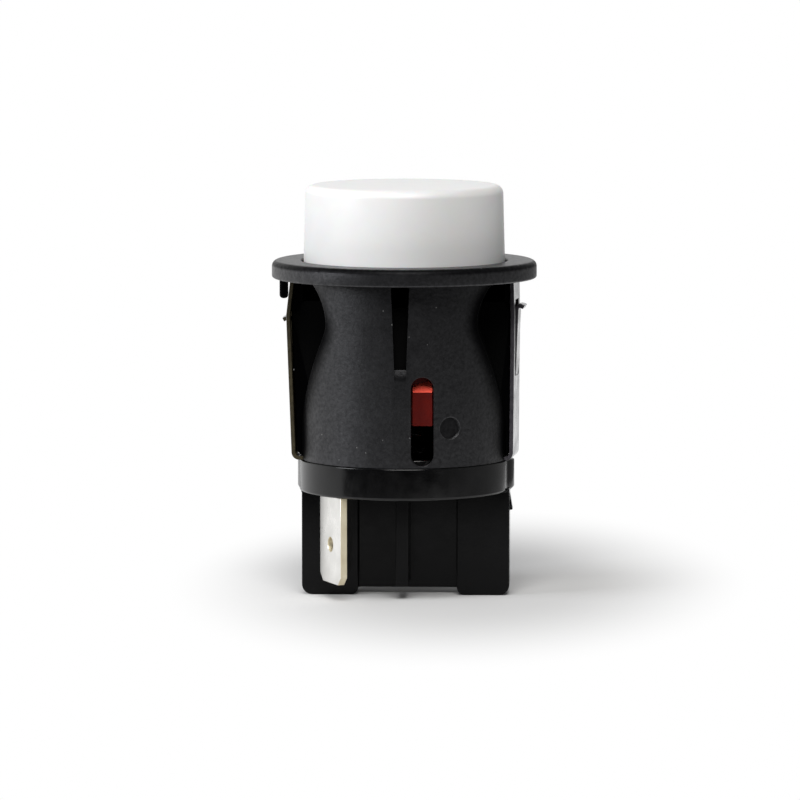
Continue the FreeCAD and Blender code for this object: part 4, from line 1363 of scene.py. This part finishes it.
for name, sizes in clips.items():
    dress(make_clip(name.replace("clip", "spring_clip"), *sizes), name, "body")

# %% [markdown]
# ## Springs
# A coil follows a rule, so it is a second node tree: a helix curve whose end turns lie closed, with a
# round wire swept along it.

# %% The coil tree
points_per_turn = 40
wire_corners = 12


def coil_tree():
    numbers = ("Turns", "Coil Radius", "Wire Radius", "Height", "End Pitch")
    inputs = [("Body", "Geometry")] + [(name, "Float") for name in numbers]
    tree, given = start_tree("coil_spring", inputs + [("Centre", "Vector"), ("Finish", "Material")])
    turns, end_pitch = given["Turns"], given["End Pitch"]
    helix = add_node(tree, "GeometryNodeCurveSpiral", {
        "Resolution": points_per_turn, "Rotations": turns, "Start Radius": given["Coil Radius"],
        "End Radius": given["Coil Radius"], "Height": 1.0}).outputs["Curve"]
    share = add_node(tree, "GeometryNodeSplineParameter").outputs["Factor"]
    turn = combine(tree, "MULTIPLY", share, turns)
    from_top = combine(tree, "SUBTRACT", turns, turn)
    closed_low = combine(tree, "MINIMUM", turn, 1.0)
    closed_high = combine(tree, "SUBTRACT", 1.0, combine(tree, "MINIMUM", from_top, 1.0))
    closed = combine(tree, "MULTIPLY", combine(tree, "ADD", closed_low, closed_high), end_pitch)
    free_turns = combine(tree, "SUBTRACT", turns, 2.0)
    free_height = combine(tree, "SUBTRACT", given["Height"], combine(tree, "MULTIPLY", end_pitch, 2.0))
    past_first = combine(tree, "MAXIMUM", combine(tree, "SUBTRACT", turn, 1.0), 0.0)
    climbed = combine(tree, "MINIMUM", past_first, free_turns)
    opened = combine(tree, "MULTIPLY", combine(tree, "DIVIDE", climbed, free_turns), free_height)
    rise = combine(tree, "ADD", closed, opened)
    place = parts_of(tree, add_node(tree, "GeometryNodeInputPosition").outputs[0])
    lifted = add_node(tree, "ShaderNodeCombineXYZ", {"X": place["X"], "Y": place["Y"], "Z": rise}).outputs[0]
    moved = combine_vectors(tree, "ADD", lifted, given["Centre"])
    path = add_node(tree, "GeometryNodeSetPosition", {"Geometry": helix, "Position": moved})
    section = add_node(tree, "GeometryNodeCurvePrimitiveCircle",
                       {"Resolution": wire_corners, "Radius": given["Wire Radius"]})
    wire = add_node(tree, "GeometryNodeCurveToMesh", {
        "Curve": path.outputs["Geometry"], "Profile Curve": section.outputs["Curve"], "Fill Caps": True})
    return end_tree(tree, wire.outputs["Mesh"], given["Finish"])


coil_spring = coil_tree()
print("coil tree", len(coil_spring.nodes), "nodes")

# %% [markdown]
# ## Winding the springs
# The turns, the wire and the coil are those of the solids, and the height is read from their boxes.
# The return spring rides on the body and the contact spring on the button.

# %% Wind the springs
end_gap = 0.1 * MM
contact_low, contact_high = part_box("contact_spring")
contact_middle = (contact_low.x + contact_high.x) / 2


def make_spring(name, node, turns, coil_radius, wire, centre_x):
    low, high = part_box(node)
    spring = new_object(name, bpy.data.meshes.new(name))
    grown(spring, coil_spring, {
        "Turns": turns, "Coil Radius": coil_radius, "Wire Radius": wire / 2, "Height": high.z - low.z - wire,
        "End Pitch": wire + end_gap, "Centre": (centre_x, 0, low.z + wire / 2), "Finish": wire_finish})
    spring.data.shade_smooth()
    spring.data.set_sharp_from_angle(angle=math.radians(60))
    return spring


return_coil = make_spring("return_coil", "return_spring", turns=9.0, coil_radius=2.17 * MM, wire=0.55 * MM,
                          centre_x=0.0)
contact_coil = make_spring("contact_coil", "contact_spring", turns=6.0, coil_radius=0.9 * MM, wire=0.4 * MM,
                           centre_x=contact_middle)
dress(return_coil, "return_spring", "body")
dress(contact_coil, "contact_spring", "button")
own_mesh(return_coil)
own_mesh(contact_coil)

# %% [markdown]
# ## Pieces that keep their solids
# The plunger, the latch and the contacts already have the right shape. They only get a finish, set on
# the material slots of their own objects.

# %% Finish the remaining solids
finishes = {"plunger": plunger_finish, "latch_pin": wire_finish, "latch_spring": clip_finish,
            "contact_bridge": copper_finish}
for end in ("front", "rear"):
    finishes[end + "_fixed_contact"] = silver_finish
    finishes[end + "_bridge_contact"] = silver_finish
for node, finish in finishes.items():
    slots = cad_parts[node].material_slots
    for slot in slots:
        slot.material = finish
    print(node, "is", finish.name, "on", len(slots), "slot")

# %% [markdown]
# ## Finish
# The picture uses the plain Standard view, so that a colour shows as it is written. The size of the
# dressed switch is printed, to be set beside the size of the imported one printed at the start.

# %% Print the dressed size and finish
bpy.context.scene.view_settings.view_transform = "Standard"
dressed_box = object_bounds()
sizes = {"cad": [list(corner) for corner in cad_box], "dressed": [list(corner) for corner in dressed_box]}
print("dressed", [round(v / MM, 2) for v in (*dressed_box[0], *dressed_box[1])])
